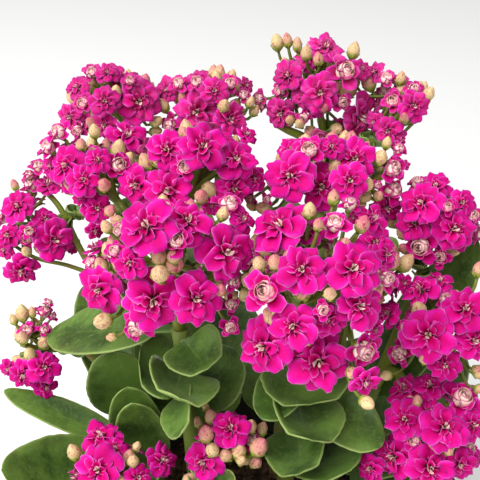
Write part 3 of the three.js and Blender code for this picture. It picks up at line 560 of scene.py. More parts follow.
def packedFlowers(head, index, placed):
    random = np.random.default_rng(seeds["packed"] + index)
    axis = stalkOf(head)[2]
    found = []
    for way in spiral(packing["tries"], packing["lowest"], 2 * index):
        share = random.uniform(packing["nearest"], packing["furthest"])
        pick = random.integers(len(packing["kinds"]))
        kind, radius = packing["kinds"][pick], packing["diameters"][pick] / 2
        place = way * vec(head["radii"]) * share + vec(head["middle"])
        outward = domeNormal(head, place)
        normal = facing(kind, place, outward, outward @ (eye - place) > 0, random.uniform)
        u, v, _ = pixelOf(place)
        if way @ axis < packing["stalkRoom"] or inGap(u, v):
            continue
        if any(h is not head and inDome(h, place) for h in heads):
            continue
        covered = False
        for other in placed + found:
            apart = other["place"] - place
            across = np.linalg.norm(apart - outward * (apart @ outward))
            reach = packing["cover"] * (radius + other["radius"])
            covered = covered or (across < reach and np.linalg.norm(apart) < packing["depth"] * reach)
        if not covered:
            found.append(flowerAt(kind, "packed", place, radius, normal, random.uniform(0, math.pi)))
    return found


def allFlowers():
    seen = [seenFlowers(head, i) for i, head in enumerate(heads)]
    placed = [flower for flowers in seen for flower in flowers if flower["layer"] == "seen"]
    settle(placed)
    for layer in (farFlowers, packedFlowers):
        for i, head in enumerate(heads):
            rest = layer(head, i, placed)
            placed += rest
            seen[i] += rest
    return seen


# Meshes

class Sheaf:  # the faces of one piece, gathered patch by patch, with values that its materials read
    def __init__(self):
        self.points, self.quads, self.triangles, self.finishes = [], [], [], []
        self.values = {"form": [], "kind": []}
        self.count = 0

    def add(self, points, quads, triangles=(), form=(0, 0, 0), kind=(0, 0, 0), finish=0):
        points = np.asarray(points, float).reshape(-1, 3)
        for name, value in (("form", form), ("kind", kind)):
            self.values[name].append(np.broadcast_to(np.asarray(value, float), points.shape))
        self.points.append(points)
        quads = np.asarray(quads, int).reshape(-1, 4)
        triangles = np.asarray(triangles, int).reshape(-1, 3)
        self.quads.append((quads + self.count, finish))
        self.triangles.append((triangles + self.count, finish))
        self.count += len(points)

    def piece(self, name, materials, node, slotName):
        points = np.concatenate(self.points) * mm
        groups = [*self.quads, *self.triangles]
        corners = np.concatenate([faces.ravel() for faces, _ in groups])
        sizes = np.concatenate([np.full(len(faces), faces.shape[1]) for faces, _ in groups])
        finishes = np.concatenate([np.full(len(faces), finish) for faces, finish in groups])
        mesh = bpy.data.meshes.new(name)
        mesh.vertices.add(len(points))
        mesh.vertices.foreach_set("co", points.ravel())
        mesh.loops.add(len(corners))
        mesh.loops.foreach_set("vertex_index", corners)
        mesh.polygons.add(len(sizes))
        mesh.polygons.foreach_set("loop_start", np.concatenate([[0], np.cumsum(sizes)[:-1]]))
        mesh.polygons.foreach_set("loop_total", sizes)
        mesh.polygons.foreach_set("material_index", finishes)
        mesh.update(calc_edges=True)
        for key, values in self.values.items():
            attribute = mesh.attributes.new(key, "FLOAT_VECTOR", "POINT")
            attribute.data.foreach_set("vector", np.concatenate(values).astype(np.float32).ravel())
        mesh.shade_smooth()
        piece = bpy.data.objects.new(name, mesh)
        bpy.context.scene.collection.objects.link(piece)
        for material in materials:
            mesh.materials.append(material)
        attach(piece, "root")
        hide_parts(node)
        return piece


def shellFaces(rows, cols):  # a closed sheet: its upper grid, its lower grid and the rim between them
    upper = np.arange(rows * cols).reshape(rows, cols)
    low = upper + rows * cols
    top = np.stack([upper[:-1, :-1], upper[1:, :-1], upper[1:, 1:], upper[:-1, 1:]], -1).reshape(-1, 4)
    under = np.stack([low[:-1, :-1], low[:-1, 1:], low[1:, 1:], low[1:, :-1]], -1).reshape(-1, 4)
    edge = np.concatenate([upper[0, :-1], upper[:-1, -1], upper[-1, :0:-1], upper[:0:-1, 0]])
    after = np.roll(edge, -1)
    rim = np.stack([edge, after, after + rows * cols, edge + rows * cols], -1)
    return np.concatenate([top, under, rim])


def tubeFaces(rings, sides):  # a closed tube: its wall, and a fan over each end
    index = np.arange(rings * sides).reshape(rings, sides)
    after = np.roll(index, -1, axis=1)
    wall = np.stack([index[:-1], after[:-1], after[1:], index[1:]], -1).reshape(-1, 4)
    first, last = index[0], index[-1]
    start = [(first[0], first[k + 1], first[k]) for k in range(1, sides - 1)]
    end = [(last[0], last[k], last[k + 1]) for k in range(1, sides - 1)]
    return wall, start + end


def tubePoints(path, radii, sides):
    path = np.asarray(path, float)
    ahead = np.gradient(path, axis=0)
    angles = np.arange(sides) * 2 * math.pi / sides
    across = (1, 0, 0)
    rings = []
    for point, way, radius in zip(path, ahead, radii):
        across, along, _ = frameOf(unit(way), across)
        rings.append(point + radius * (np.outer(np.cos(angles), across) + np.outer(np.sin(angles), along)))
    return np.array(rings)


def bezier(points, count):
    t = np.linspace(0, 1, count)[:, None]
    layers = [vec(p) for p in points]
    while len(layers) > 1:
        layers = [a * (1 - t) + b * t for a, b in zip(layers, layers[1:])]
    return layers[0]


def smooth(value, low, high):
    t = np.clip((value - low) / (high - low), 0, 1)
    return t * t * (3 - 2 * t)


# Materials

def tint(code):  # a colour as a picture program shows it, for a shader
    channels = [int(code[i:i + 2], 16) / 255 for i in (1, 3, 5)]
    return tuple(c / 12.92 if c < 0.04045 else ((c + 0.055) / 1.055) ** 2.4 for c in channels) + (1,)


class Value:  # a shader number, for sums in Python
    def __init__(self, paint, socket):
        self.paint, self.socket = paint, socket

    def join(self, operation, *others):
        return self.paint.sum(operation, self, *others)

    def __add__(self, other):
        return self.join("ADD", other)

    def __sub__(self, other):
        return self.join("SUBTRACT", other)

    def __mul__(self, other):
        return self.join("MULTIPLY", other)

    def __rsub__(self, other):
        return self.paint.sum("SUBTRACT", other, self)

    __radd__ = __add__
    __rmul__ = __mul__

    def between(self, low, high):  # 0 below low and 1 above high, with a soft step
        return self.paint.node(
            "MapRange", {"interpolation_type": "SMOOTHSTEP"},
            {"Value": self, "From Min": low, "From Max": high},
        )


class Paint:  # one material
    def __init__(self, name, **constants):
        self.material = bpy.data.materials.new(name)
        self.material.use_nodes = True
        self.tree = self.material.node_tree
        self.surface = self.tree.nodes["Principled BSDF"]
        self.feed(self.surface, constants)

    def feed(self, node, sockets):
        for key, value in sockets.items():
            socket = node.inputs[key.replace("_", " ") if isinstance(key, str) else key]
            if isinstance(value, Value):
                self.tree.links.new(value.socket, socket)
            else:
                socket.default_value = value

    def node(self, kind, settings=None, sockets=None, output=0):
        node = self.tree.nodes.new("ShaderNode" + kind)
        for key, value in (settings or {}).items():
            setattr(node, key, value)
        self.feed(node, sockets or {})
        return Value(self, node.outputs[output])

    def sum(self, operation, *values):
        return self.node("Math", {"operation": operation}, dict(enumerate(values)))

    def mix(self, share, a, b, blend="MIX"):
        return self.node("Mix", {"data_type": "RGBA", "blend_type": blend}, {0: share, 6: a, 7: b}, 2)

    def attribute(self, name):  # the three numbers of a vector on the mesh
        vector = self.node("Attribute", {"attribute_name": name}, output=1)
        return [self.node("SeparateXYZ", None, {0: vector}, i) for i in range(3)]

    def point(self, x, y, z):
        return self.node("CombineXYZ", None, {0: x, 1: y, 2: z})

    def place(self):
        return self.node("TexCoord", output=3)

    def stretched(self, at, by):
        return self.node("VectorMath", {"operation": "MULTIPLY"}, {0: at, 1: by})

    def noise(self, at, scale, detail=3.0, roughness=0.5):
        return self.node("TexNoise", None, {
            "Vector": at, "Scale": scale, "Detail": detail, "Roughness": roughness,
        })

    def bump(self, height, distance, strength):
        return self.node("Bump", None, {"Height": height, "Distance": distance, "Strength": strength})

    def finish(self, **sockets):
        self.feed(self.surface, sockets)
        return self.material


# The darkest crimson is partly the petals' own colour and partly painted shade at their feet; the rim colour
# is a painted highlight along their edges.
petalLook = {
    "magenta": "#da0680", "lilac": "#e41daa", "crimson": "#b8064f", "crimsonAndShade": "#7a0336", "rim": "#f9a6dc",
    "under": "#d25c98", "cream": "#fbead6", "blush": "#cf4f86", "faded": "#c65f92", "edge": "#e866c8",
    "roughness": 0.5, "veins": 0.4, "rimHighlightStart": 0.95, "fadeFrom": 0.045, "fadeTo": 0.1,
}


def petalMaterial():
    look = petalLook
    paint = Paint("petal", Specular_IOR_Level=0.06)
    side, along, tone = paint.attribute("form")
    under, cream, crimsonAndShade = paint.attribute("kind")
    streaks = paint.noise(paint.point(side * 7, along * 0.8, tone * 70), 2.8, 4, 0.6)
    clouds = paint.noise(paint.point(side * 1.2, along * 1.5, tone * 31), 1.6, 2)
    away = side.join("ABSOLUTE")
    # Crimson towards the petals' feet and on the inner whorls: partly the petals' own colour and partly
    # painted shade deep in the flower, darkest at the feet.
    inner = (along + clouds * 0.5).between(0.35, 0.85)
    middle = paint.mix(inner, tint(look["crimson"]), tint(look["magenta"]))
    outer = (along + away * 0.25 + clouds * 0.35).between(0.85, 1.3) * (1 - crimsonAndShade * 0.6)
    face = paint.mix(outer, middle, tint(look["lilac"]))
    face = paint.mix(crimsonAndShade * 0.6, face, tint(look["crimson"]))
    face = paint.mix(along.between(0.35, 0.02), face, tint(look["crimsonAndShade"]))
    veined = paint.mix(streaks.between(0.48, 0.72) * look["veins"], face, tint(look["crimson"]))
    # Painted highlight: a pale line along the rims of the upper face, a little stronger on the inner whorls.
    edge = along.between(look["rimHighlightStart"], 1) + away.between(0.93, 1) * along.between(0.4, 0.7)
    edge = edge * clouds.between(0.35, 0.65) * (0.75 + crimsonAndShade * 0.2)
    corners = (along + away * 0.3 + clouds * 0.4).between(1.15, 1.5)
    veined = paint.mix(corners * 0.4, veined, tint(look["edge"]))
    upper = paint.mix(edge.join("MINIMUM", 0.7), veined, tint(look["rim"]))
    pale = paint.mix(streaks.between(0.45, 0.7) * 0.6, tint(look["under"]), tint(look["magenta"]))
    pale = paint.mix(along.between(0.6, 0.15), pale, tint(look["cream"]))
    plain = paint.mix(under, upper, pale)
    blush = paint.mix(streaks.between(0.5, 0.75) * 0.35, tint(look["cream"]), tint(look["blush"]))
    blush = paint.mix(along.between(0.9, 0.99) * 0.8, blush, tint(look["blush"]))
    colour = paint.mix(cream, plain, blush)
    depth = paint.node("SeparateXYZ", None, {0: paint.place()}, 1)
    fading = depth.between(look["fadeFrom"], look["fadeTo"]) * clouds.between(0.3, 0.7) * 0.5 * (1 - cream)
    colour = paint.mix(fading, colour, tint(look["faded"]))  # the flowers at the back are older
    light = tone.join("MAXIMUM", cream)
    shade = paint.mix(1.0, colour, paint.mix(light, (0.7, 0.66, 0.68, 1), (1, 1, 1, 1)), "MULTIPLY")
    return paint.finish(
        Base_Color=shade,
        Roughness=streaks * 0.2 + (look["roughness"] - 0.1),
        Normal=paint.bump(streaks, 0.0004, 0.6),
    )


budLook = {
    "tip": "#c8617a", "body": "#d8bf8a", "seam": "#a01e4c", "foot": "#93a340", "speck": "#74423a",
    "roughness": 0.5,
}


def budMaterial():
    look = budLook
    paint = Paint("bud", Specular_IOR_Level=0.3)
    seam, along, tone = paint.attribute("form")
    at = paint.place()
    mottle = paint.noise(at, 700.0, 3)
    ripe = along * 0.6 + tone * 0.8 + mottle * 0.6  # tips turn pink first
    skin = paint.mix(ripe.between(0.95, 1.8), tint(look["body"]), tint(look["tip"]))
    folds = seam.between(0.62, 0.95) * along.between(0.15, 0.45)
    skin = paint.mix(folds * (0.6 + tone * 0.4), skin, tint(look["seam"]))
    skin = paint.mix(along.between(0.5, 0.2), skin, tint(look["foot"]))
    streaks = paint.noise(paint.point(seam * 2.5, along * 0.7, tone * 40), 3.0, 4, 0.6)
    skin = paint.mix(streaks.between(0.48, 0.68) * along.between(0.15, 0.6) * 0.7, skin, tint(look["seam"]))
    specks = paint.node("TexVoronoi", None, {"Vector": at, "Scale": 1300.0}).between(0.2, 0.08)
    skin = paint.mix(specks * mottle.between(0.45, 0.6) * 0.55, skin, tint(look["speck"]))
    return paint.finish(
        Base_Color=skin, Roughness=mottle * 0.2 + (look["roughness"] - 0.1),
        Normal=paint.bump(mottle, 0.0002, 0.4),
    )


greenLook = {"stalk": "#6f7a24", "sepal": "#9fb03c", "flush": "#8a5a34", "roughness": 0.45}


def greenMaterial():  # pedicels, stalks and sepals
    look = greenLook
    paint = Paint("green", Specular_IOR_Level=0.4)
    _, along, tone = paint.attribute("form")
    sepal, _, _ = paint.attribute("kind")
    clouds = paint.noise(paint.place(), 160.0, 3)
    stalk = paint.mix(clouds.between(0.5, 0.75) * 0.5, tint(look["stalk"]), tint(look["flush"]))
    leafy = paint.mix(along.between(0.2, 1) * 0.5, tint(look["sepal"]), tint(look["stalk"]))
    green = paint.mix(sepal, stalk, leafy)
    green = paint.mix(1.0, green, paint.mix(tone, (0.72, 0.72, 0.72, 1), (1, 1, 1, 1)), "MULTIPLY")
    return paint.finish(
        Base_Color=green, Roughness=clouds * 0.2 + (look["roughness"] - 0.1),
        Normal=paint.bump(clouds, 0.0004, 0.4),
    )


# The dark green is the leaf's mottle and also the painted shade towards its foot; the vein green also paints
# light on the raised margins, and the rim green is a painted highlight.
leafLook = {
    "face": "#6c8d3b", "dark": "#3a561f", "pale": "#a3b288", "under": "#8b9d5c", "rim": "#a3b466",
    "vein": "#83994f", "roughness": 0.36, "rimHighlightWidth": 0.97,
}


def leafMaterial():
    look = leafLook
    paint = Paint("leaf", Specular_IOR_Level=0.4)
    side, along, tone = paint.attribute("form")
    under, rim, _ = paint.attribute("kind")
    at = paint.place()
    clouds = paint.noise(at, 55.0, 4, 0.6)
    grain = paint.noise(at, 700.0, 3, 0.6)
    face = paint.mix(clouds.between(0.35, 0.65), tint(look["dark"]), tint(look["face"]))
    face = paint.mix(grain.between(0.5, 0.8) * 0.3, face, tint(look["pale"]))
    away = side.join("ABSOLUTE")
    # Side veins run from the midrib towards the tip.
    comb = paint.node("TexWave", {"wave_profile": "SIN"}, {
        "Vector": paint.point(along * 0.9 - away * 0.32, tone * 9, clouds * 0.04), "Scale": 2.2,
        "Distortion": 0.6, "Detail": 1.0,
    })
    midrib = away.between(0.06, 0.01) * along.between(0.95, 0.5)
    veins = comb.between(0.9, 1) * away.between(0.8, 0.3) * 0.12 + midrib * 0.2
    # Painted shade: the face darkens towards the leaf's foot, where the cupped blade shades itself.
    face = paint.mix(along.between(0.55, 0.1) * 0.7, face, tint(look["dark"]))
    # Veins in the vein colour, and painted light on the raised margins in the same colour.
    face = paint.mix(veins + away.between(0.55, 0.95) * 0.25, face, tint(look["vein"]))
    back = paint.mix(clouds.between(0.3, 0.7) * 0.5, tint(look["under"]), tint(look["face"]))
    green = paint.mix(under, face, back)
    # Painted highlight: a pale line along the rim, where the cupped margins catch light.
    green = paint.mix(rim.between(0.5, look["rimHighlightWidth"]) * 0.6, green, tint(look["rim"]))
    green = paint.mix(1.0, green, paint.mix(tone, (0.6, 0.64, 0.58, 1), (1, 1, 1, 1)), "MULTIPLY")
    height = grain * 0.4 + clouds * 0.5 - veins * 0.5
    return paint.finish(
        Base_Color=green, Roughness=clouds * 0.22 + (look["roughness"] - 0.1),
        Normal=paint.bump(height, 0.0008, 0.5),
    )


stemLook = {"green": "#62702c", "bark": "#6b5233", "scar": "#4a3a26", "roughness": 0.6}


def stemMaterial():
    look = stemLook
    paint = Paint("stem", Specular_IOR_Level=0.35)
    _, along, _ = paint.attribute("form")
    at = paint.place()
    clouds = paint.noise(at, 90.0, 4, 0.6)
    fibres = paint.noise(paint.stretched(at, (1, 1, 0.12)), 900.0)
    bark = paint.mix(clouds.between(0.4, 0.65), tint(look["bark"]), tint(look["scar"]))
    colour = paint.mix((along + clouds * 0.3).between(0.35, 0.75), bark, tint(look["green"]))
    return paint.finish(
        Base_Color=colour, Roughness=fibres * 0.2 + (look["roughness"] - 0.1),
        Normal=paint.bump(fibres + clouds, 0.0006, 0.6),
    )


potLook = {"plastic": "#2b2a28", "worn": "#4a4844", "dust": "#6d6558", "roughness": 0.5}


def potMaterial():
    look = potLook
    paint = Paint("potPlastic", Specular_IOR_Level=0.45)
    at = paint.place()
    z = paint.node("SeparateXYZ", None, {0: at}, 2)
    clouds = paint.noise(at, 14.0, 4, 0.6)
    scuffs = paint.noise(paint.stretched(at, (1, 1, 0.25)), 260.0, 4)
    grain = paint.noise(at, 2600.0, 2)
    plastic = paint.mix(scuffs.between(0.58, 0.75) * 0.5, tint(look["plastic"]), tint(look["worn"]))
    dust = clouds.between(0.45, 0.75) * (z.between(0.03, 0.0) * 0.5 + 0.22)
    colour = paint.mix(dust, plastic, tint(look["dust"]))
    return paint.finish(
        Base_Color=colour, Roughness=clouds * 0.25 + dust * 0.3 + (look["roughness"] - 0.12),
        Normal=paint.bump(grain * 0.6 + scuffs * 0.4, 0.0002, 0.4),
    )


soilLook = {"peat": "#3a2819", "dry": "#5d4630", "dark": "#1c130c", "roughness": 0.95}


def soilMaterial():
    look = soilLook
    paint = Paint("peat", Specular_IOR_Level=0.2)
    at = paint.place()
    coarse = paint.noise(at, 220.0, 4, 0.65)
    fine = paint.noise(at, 1400.0, 3)
    _, _, tone = paint.attribute("form")
    colour = paint.mix(coarse.between(0.4, 0.65), tint(look["dark"]), tint(look["peat"]))
    colour = paint.mix((fine * 0.5 + tone * 0.5).between(0.45, 0.7) * 0.8, colour, tint(look["dry"]))
    return paint.finish(
        Base_Color=colour, Roughness=fine * 0.1 + (look["roughness"] - 0.08),
        Normal=paint.bump(coarse + fine * 0.5, 0.0015, 0.8),
    )


finishes = {
    "petal": petalMaterial(), "bud": budMaterial(), "green": greenMaterial(), "leaf": leafMaterial(),
    "stem": stemMaterial(), "pot": potMaterial(), "soil": soilMaterial(),
}
print("materials made")

# Blooms. A whorl's sizes are shares of its flower's radius, with heights over the tips of the outermost
# petals. Each petal is a fan round the flower's axis with a rounded edge, and a closed sheet.

thickness = 0.3  # of a petal, in millimetres

# Grades of detail, for large seen flowers, small seen ones, the far layer, and the small and packed layers:
# the rows and columns that a petal's grid does without, the sides of a bud, the step between the points of
# its profile that are used, the grid of a sepal and the sides of a pedicel.
fineRadius = 7
grades = [
    {"fewer": (0, 0), "budSides": 20, "budStep": 1, "sepalGrid": (4, 5), "pedicelSides": 5},
    {"fewer": (2, 3), "budSides": 20, "budStep": 1, "sepalGrid": (3, 3), "pedicelSides": 5},
    {"fewer": (2, 4), "budSides": 20, "budStep": 1, "sepalGrid": (3, 3), "pedicelSides": 5},
    {"fewer": (3, 5), "budSides": 14, "budStep": 2, "sepalGrid": (3, 3), "pedicelSides": 4},
]
sizes = {"full": 9, "most": 1.2}  # the radius of a full bloom, and the most that a larger one counts for

# The crimson share of a whorl is partly its own colour and partly painted shade deep in the flower.
whorls = {
    "open": [
        {"count": 4, "turn": 0.0, "reach": 1.0, "half": 45, "foot": 0.1, "throat": -0.36, "tip": -0.04,
         "spread": 3.0, "droop": 0.16, "cup": 0.02, "wave": 0.08, "fall": 0.5, "crimsonAndShade": 0.0, "grid": (7, 12)},
        {"count": 4, "turn": 0.5, "reach": 0.94, "half": 43, "foot": 0.09, "throat": -0.28, "tip": 0.08,
         "spread": 2.8, "droop": 0.1, "cup": 0.04, "wave": 0.09, "fall": 0.5, "crimsonAndShade": 0.05, "grid": (7, 12)},
        {"count": 4, "turn": 0.15, "reach": 0.62, "half": 40, "foot": 0.07, "throat": -0.2, "tip": 0.16,
         "spread": 2.2, "droop": 0.06, "cup": 0.1, "wave": 0.1, "fall": 0.45, "crimsonAndShade": 0.3, "grid": (5, 8)},
        {"count": 3, "turn": 0.6, "reach": 0.34, "half": 46, "foot": 0.05, "throat": -0.12, "tip": 0.22,
         "spread": 1.5, "droop": 0.0, "cup": 0.16, "wave": 0.09, "fall": 0.4, "crimsonAndShade": 0.7, "grid": (5, 6)},
        {"count": 3, "turn": 0.2, "reach": 0.14, "half": 40, "foot": 0.02, "throat": -0.06, "tip": 0.22,
         "spread": 0.9, "droop": 0.0, "cup": 0.1, "wave": 0.05, "fall": 0.3, "crimsonAndShade": 0.8, "cream": 0.8,
         "grid": (4, 4)},
    ],
    "half": [
        {"count": 4, "turn": 0.0, "reach": 1.0, "half": 42, "foot": 0.14, "throat": -0.44, "tip": 0.1,
         "spread": 1.9, "droop": 0.02, "cup": 0.14, "wave": 0.08, "fall": 0.48, "crimsonAndShade": 0.1, "grid": (7, 8)},
        {"count": 4, "turn": 0.5, "reach": 0.64, "half": 50, "foot": 0.14, "throat": -0.38, "tip": 0.42,
         "spread": 1.1, "droop": 0.0, "cup": 0.1, "wave": 0.04, "fall": 0.36, "crimsonAndShade": 0.3, "grid": (6, 8)},
    ],
}
# How petals vary. A ripple has its height, its waves over half a petal, and how far a draw shifts it.
petalShape = {
    "turnPlay": 0.2, "edgeRipple": (0.045, 9, 3), "fineRipple": (0.025, 13, 8), "tipRipple": (0.03, 11, 5),
    "point": 0.04, "pointWidth": 0.22, "length": 0.98, "stretch": 0.1, "corner": 2.4, "longest": 1.05,
    "footWidth": 0.45, "bladeWidth": 0.55, "widening": 0.7, "smallWidth": 0.94, "sizeWidth": 0.08,
    "lift": 0.13, "fold": 0.09, "foldMiddle": 0.4, "waves": 4.6, "waveShift": 3, "skew": 0.06,
}

# The middle of a half-open flower: petals rolled round each other, in layers from the outermost in.
rolls = [
    {"radius": 0.43, "top": 0.5, "half": 74, "count": 3, "mouth": 0.78, "grid": (6, 8)},
    {"radius": 0.3, "top": 0.58, "half": 76, "count": 3, "mouth": 0.7, "grid": (5, 7)},
    {"radius": 0.17, "top": 0.62, "half": 80, "count": 2, "mouth": 0.6, "grid": (5, 6)},
]
# Rolled petals are cream, and their crimson share is partly their own colour and partly painted shade inside
# the roll.
rollShape = {
    "twist": 6, "turnPlay": 0.15, "foot": 0.3, "belly": 0.7, "bellyAt": 0.72, "bellyCurve": 0.8,
    "closing": 0.55, "overlap": 0.11, "footWidth": 0.8, "flare": 0.2, "corner": 0.16, "low": -0.42,
    "lift": 0.03, "cream": 0.95, "crimsonAndShade": 0.8,
}


def sheetPoints(top, depth):  # both faces of sheets, whose points come by sheet, row and column
    ahead = np.gradient(top, axis=1)
    aside = np.gradient(top, axis=2)
    normal = np.cross(ahead, aside)
    normal /= np.linalg.norm(normal, axis=-1, keepdims=True) + 1e-9
    return np.stack([top, top - normal * depth[..., None]], axis=1)


def addSheets(sheaf, flowers, local, cream, crimsonAndShade, tones):
    count, rows, cols, _ = local.shape
    frames = np.stack([flower["frame"] for flower in flowers])
    radii = vec([flower["radius"] for flower in flowers])[:, None, None]
    places = np.stack([flower["place"] for flower in flowers])[:, None, None, None]
    t = np.linspace(0, 1, rows)[:, None]
    s = np.linspace(-1, 1, cols)[None, :]
    thin = 0.4 + 0.6 * (1 - s ** 4) * (1 - t ** 5)
    both = sheetPoints(local, thickness * thin[None] / radii)
    world = places + radii[..., None, None] * np.einsum("nfrck,nkj->nfrcj", both, frames)
    form = np.zeros((count, 2, rows, cols, 3))
    form[..., 0] = s
    form[..., 1] = t
    form[..., 2] = tones[:, None, None, None]
    # The kind holds the underside, the cream and the crimson share, which is partly the petals' own colour
    # and partly painted shade deep in the flower.
    kind = np.zeros((count, 2, rows, cols, 3))
    kind[:, 1, :, :, 0] = 1
    kind[..., 1] = cream
    kind[..., 2] = crimsonAndShade
    one = shellFaces(rows, cols)
    quads = one[None] + (np.arange(count) * 2 * rows * cols)[:, None, None]
    sheaf.add(world, quads, form=form.reshape(-1, 3), kind=kind.reshape(-1, 3))


def gridOf(petals, flowers):
    rows, cols = petals["grid"]
    fewerRows, fewerCols = grades[flowers[0]["grade"]]["fewer"]
    return max(rows - fewerRows, min(rows, 4)), max(cols - fewerCols, min(cols, 4))


def ripple(wave, s, draw):
    height, waves, shift = wave
    return height * np.sin(waves * s + shift * draw)


def growWhorl(sheaf, flowers, whorl, random):
    shape = petalShape
    rows, cols = gridOf(whorl, flowers)
    t = np.linspace(0, 1, rows)[None, :, None]
    s = np.linspace(-1, 1, cols)[None, None, :]
    spin = vec([flower["spin"] for flower in flowers])[:, None, None]
    size = vec([flower["size"] for flower in flowers])[:, None, None]
    for k in range(whorl["count"]):
        draws = random.uniform(-1, 1, (6, len(flowers)))
        shift, stretch, lift, phase, fold, tone = draws[..., None, None]
        angle = spin + 2 * math.pi * (k + whorl["turn"]) / whorl["count"] + shape["turnPlay"] * shift
        ruffle = 1 + ripple(shape["edgeRipple"], s, phase) + ripple(shape["fineRipple"], s, stretch)
        ruffle = ruffle + shape["point"] * np.exp(-((s / shape["pointWidth"]) ** 2))
        reach = whorl["reach"] * (shape["length"] + shape["stretch"] * stretch) * ruffle
        reach = np.minimum(reach * (1 - whorl["fall"] * np.abs(s) ** shape["corner"]), shape["longest"])
        radius = whorl["foot"] + (reach - whorl["foot"]) * t
        spread = np.radians(whorl["half"]) * (shape["smallWidth"] + shape["sizeWidth"] * size)
        spread = spread * (shape["footWidth"] + shape["bladeWidth"] * t ** shape["widening"])
        around = angle + s * spread
        rise = 1 - (1 - t) ** whorl["spread"]
        height = whorl["throat"] + (whorl["tip"] + shape["lift"] * lift - whorl["throat"]) * rise
        height = height - whorl["droop"] * t ** 3
        height = height + (whorl["cup"] + shape["fold"] * fold) * (s * s - shape["foldMiddle"]) * t
        height = height + whorl["wave"] * t ** 2 * np.sin(shape["waves"] * s + shape["waveShift"] * phase)
        height = height + shape["skew"] * s * t + ripple(shape["tipRipple"], s, phase) * t ** 4
        local = np.stack(np.broadcast_arrays(radius * np.cos(around), radius * np.sin(around), height), -1)
        addSheets(sheaf, flowers, local, whorl.get("cream", 0), whorl["crimsonAndShade"], (tone.reshape(-1) + 1) / 2)


def growRoll(sheaf, flowers, roll, random):
    shape = rollShape
    rows, cols = gridOf(roll, flowers)
    t = np.linspace(0, 1, rows)[None, :, None]
    s = np.linspace(-1, 1, cols)[None, None, :]
    spin = vec([flower["spin"] for flower in flowers])[:, None, None]
    for k in range(roll["count"]):
        shift, lift, tone = random.uniform(-1, 1, (3, len(flowers)))[..., None, None]
        angle = spin + 2 * math.pi * k / roll["count"] + shape["twist"] * roll["radius"]
        angle = angle + shape["turnPlay"] * shift
        belly = np.sin(math.pi * np.minimum(t * shape["bellyAt"], 0.5)) ** shape["bellyCurve"]
        closing = 1 - (1 - roll["mouth"]) * smooth(t, shape["closing"], 1)
        radius = roll["radius"] * (shape["foot"] + shape["belly"] * belly) * closing
        radius = radius * (1 + shape["overlap"] * s)
        around = angle + s * math.radians(roll["half"]) * (shape["footWidth"] + shape["flare"] * t)
        edge = 1 - shape["corner"] * np.abs(s) ** 3
        height = shape["low"] + (roll["top"] - shape["low"] + shape["lift"] * lift) * t * edge
        local = np.stack(np.broadcast_arrays(radius * np.cos(around), radius * np.sin(around), height), -1)
        addSheets(sheaf, flowers, local, shape["cream"], shape["crimsonAndShade"], (tone.reshape(-1) + 1) / 2)


# Buds. The profile gives the height and the half width over the bud's radius.
budShape = {
    "pleats": 4, "pleatDepth": 0.16, "pleatCurve": 1.5, "pleatMiddle": 0.6, "pleatFrom": -1.1, "pleatTo": 0.1,
    "twist": 0.9,
    "profile": ((-1.3, 0.25), (-1.0, 0.6), (-0.6, 0.86), (-0.15, 1.0), (0.3, 0.97), (0.75, 0.81),
                (1.15, 0.54), (1.42, 0.27), (1.58, 0.08)),
}


def growBud(sheaf, flower, tone):
    shape = budShape
    grade = grades[flower["grade"]]
    heights, widths = vec(shape["profile"][::grade["budStep"]]).T[..., None]
    turns = np.arange(grade["budSides"]) * 2 * math.pi / grade["budSides"]
    swirl = shape["pleats"] * (turns + shape["twist"] * heights) / (2 * math.pi)
    saw = (swirl + flower["spin"]) % 1
    pleat = shape["pleatDepth"] * (saw ** shape["pleatCurve"] - shape["pleatMiddle"])
    rings = widths * (1 + pleat * smooth(heights, shape["pleatFrom"], shape["pleatTo"]))
    local = np.stack(np.broadcast_arrays(rings * np.cos(turns), rings * np.sin(turns), heights), -1)
    world = flower["place"] + flower["radius"] * local @ flower["frame"]
    along = (heights - heights[0]) / (heights[-1] - heights[0])
    form = np.stack(np.broadcast_arrays(saw, along, np.float64(tone)), -1).reshape(-1, 3)
    quads, caps = tubeFaces(len(heights), grade["budSides"])
    sheaf.add(world, quads, caps, form=form, finish=1)


# Sepals, pedicels and branches. Heights and widths of the sepals are shares of the flower's radius.
greenShape = {
    "sepals": 4, "sepalThick": 0.3, "clear": 0.25, "opening": 0.7, "narrowing": 0.86, "narrowCurve": 1.5,
    "pedicel": 0.62, "pedicelFoot": 0.85, "spans": 4, "branch": 1.15, "branchFoot": 1.5, "branchRings": 6,
    "branchSides": 6, "branchReach": 0.5, "branches": 7, "branchSpread": 1.1, "bend": 0.45, "stalkEnd": 1.8,
    "stalkSides": 8, "neck": 5, "cap": 3, "capEnd": 1.4, "throat": -0.34, "throatSides": 6,
    "throatGreen": 0.7,
}
sepalForms = {
    "open": {"low": -0.66, "high": -0.36, "foot": 0.07, "wide": 0.13, "half": 36},
    "half": {"low": -0.68, "high": -0.24, "foot": 0.1, "wide": 0.26, "half": 34},
    "bud": {"low": -1.38, "high": -0.3, "foot": 0.25, "wide": 1.02, "half": 36},
}
corollaTube = {"open": (0.1, 0.14), "half": (0.12, 0.26)}  # its half widths at the calyx and at the throat


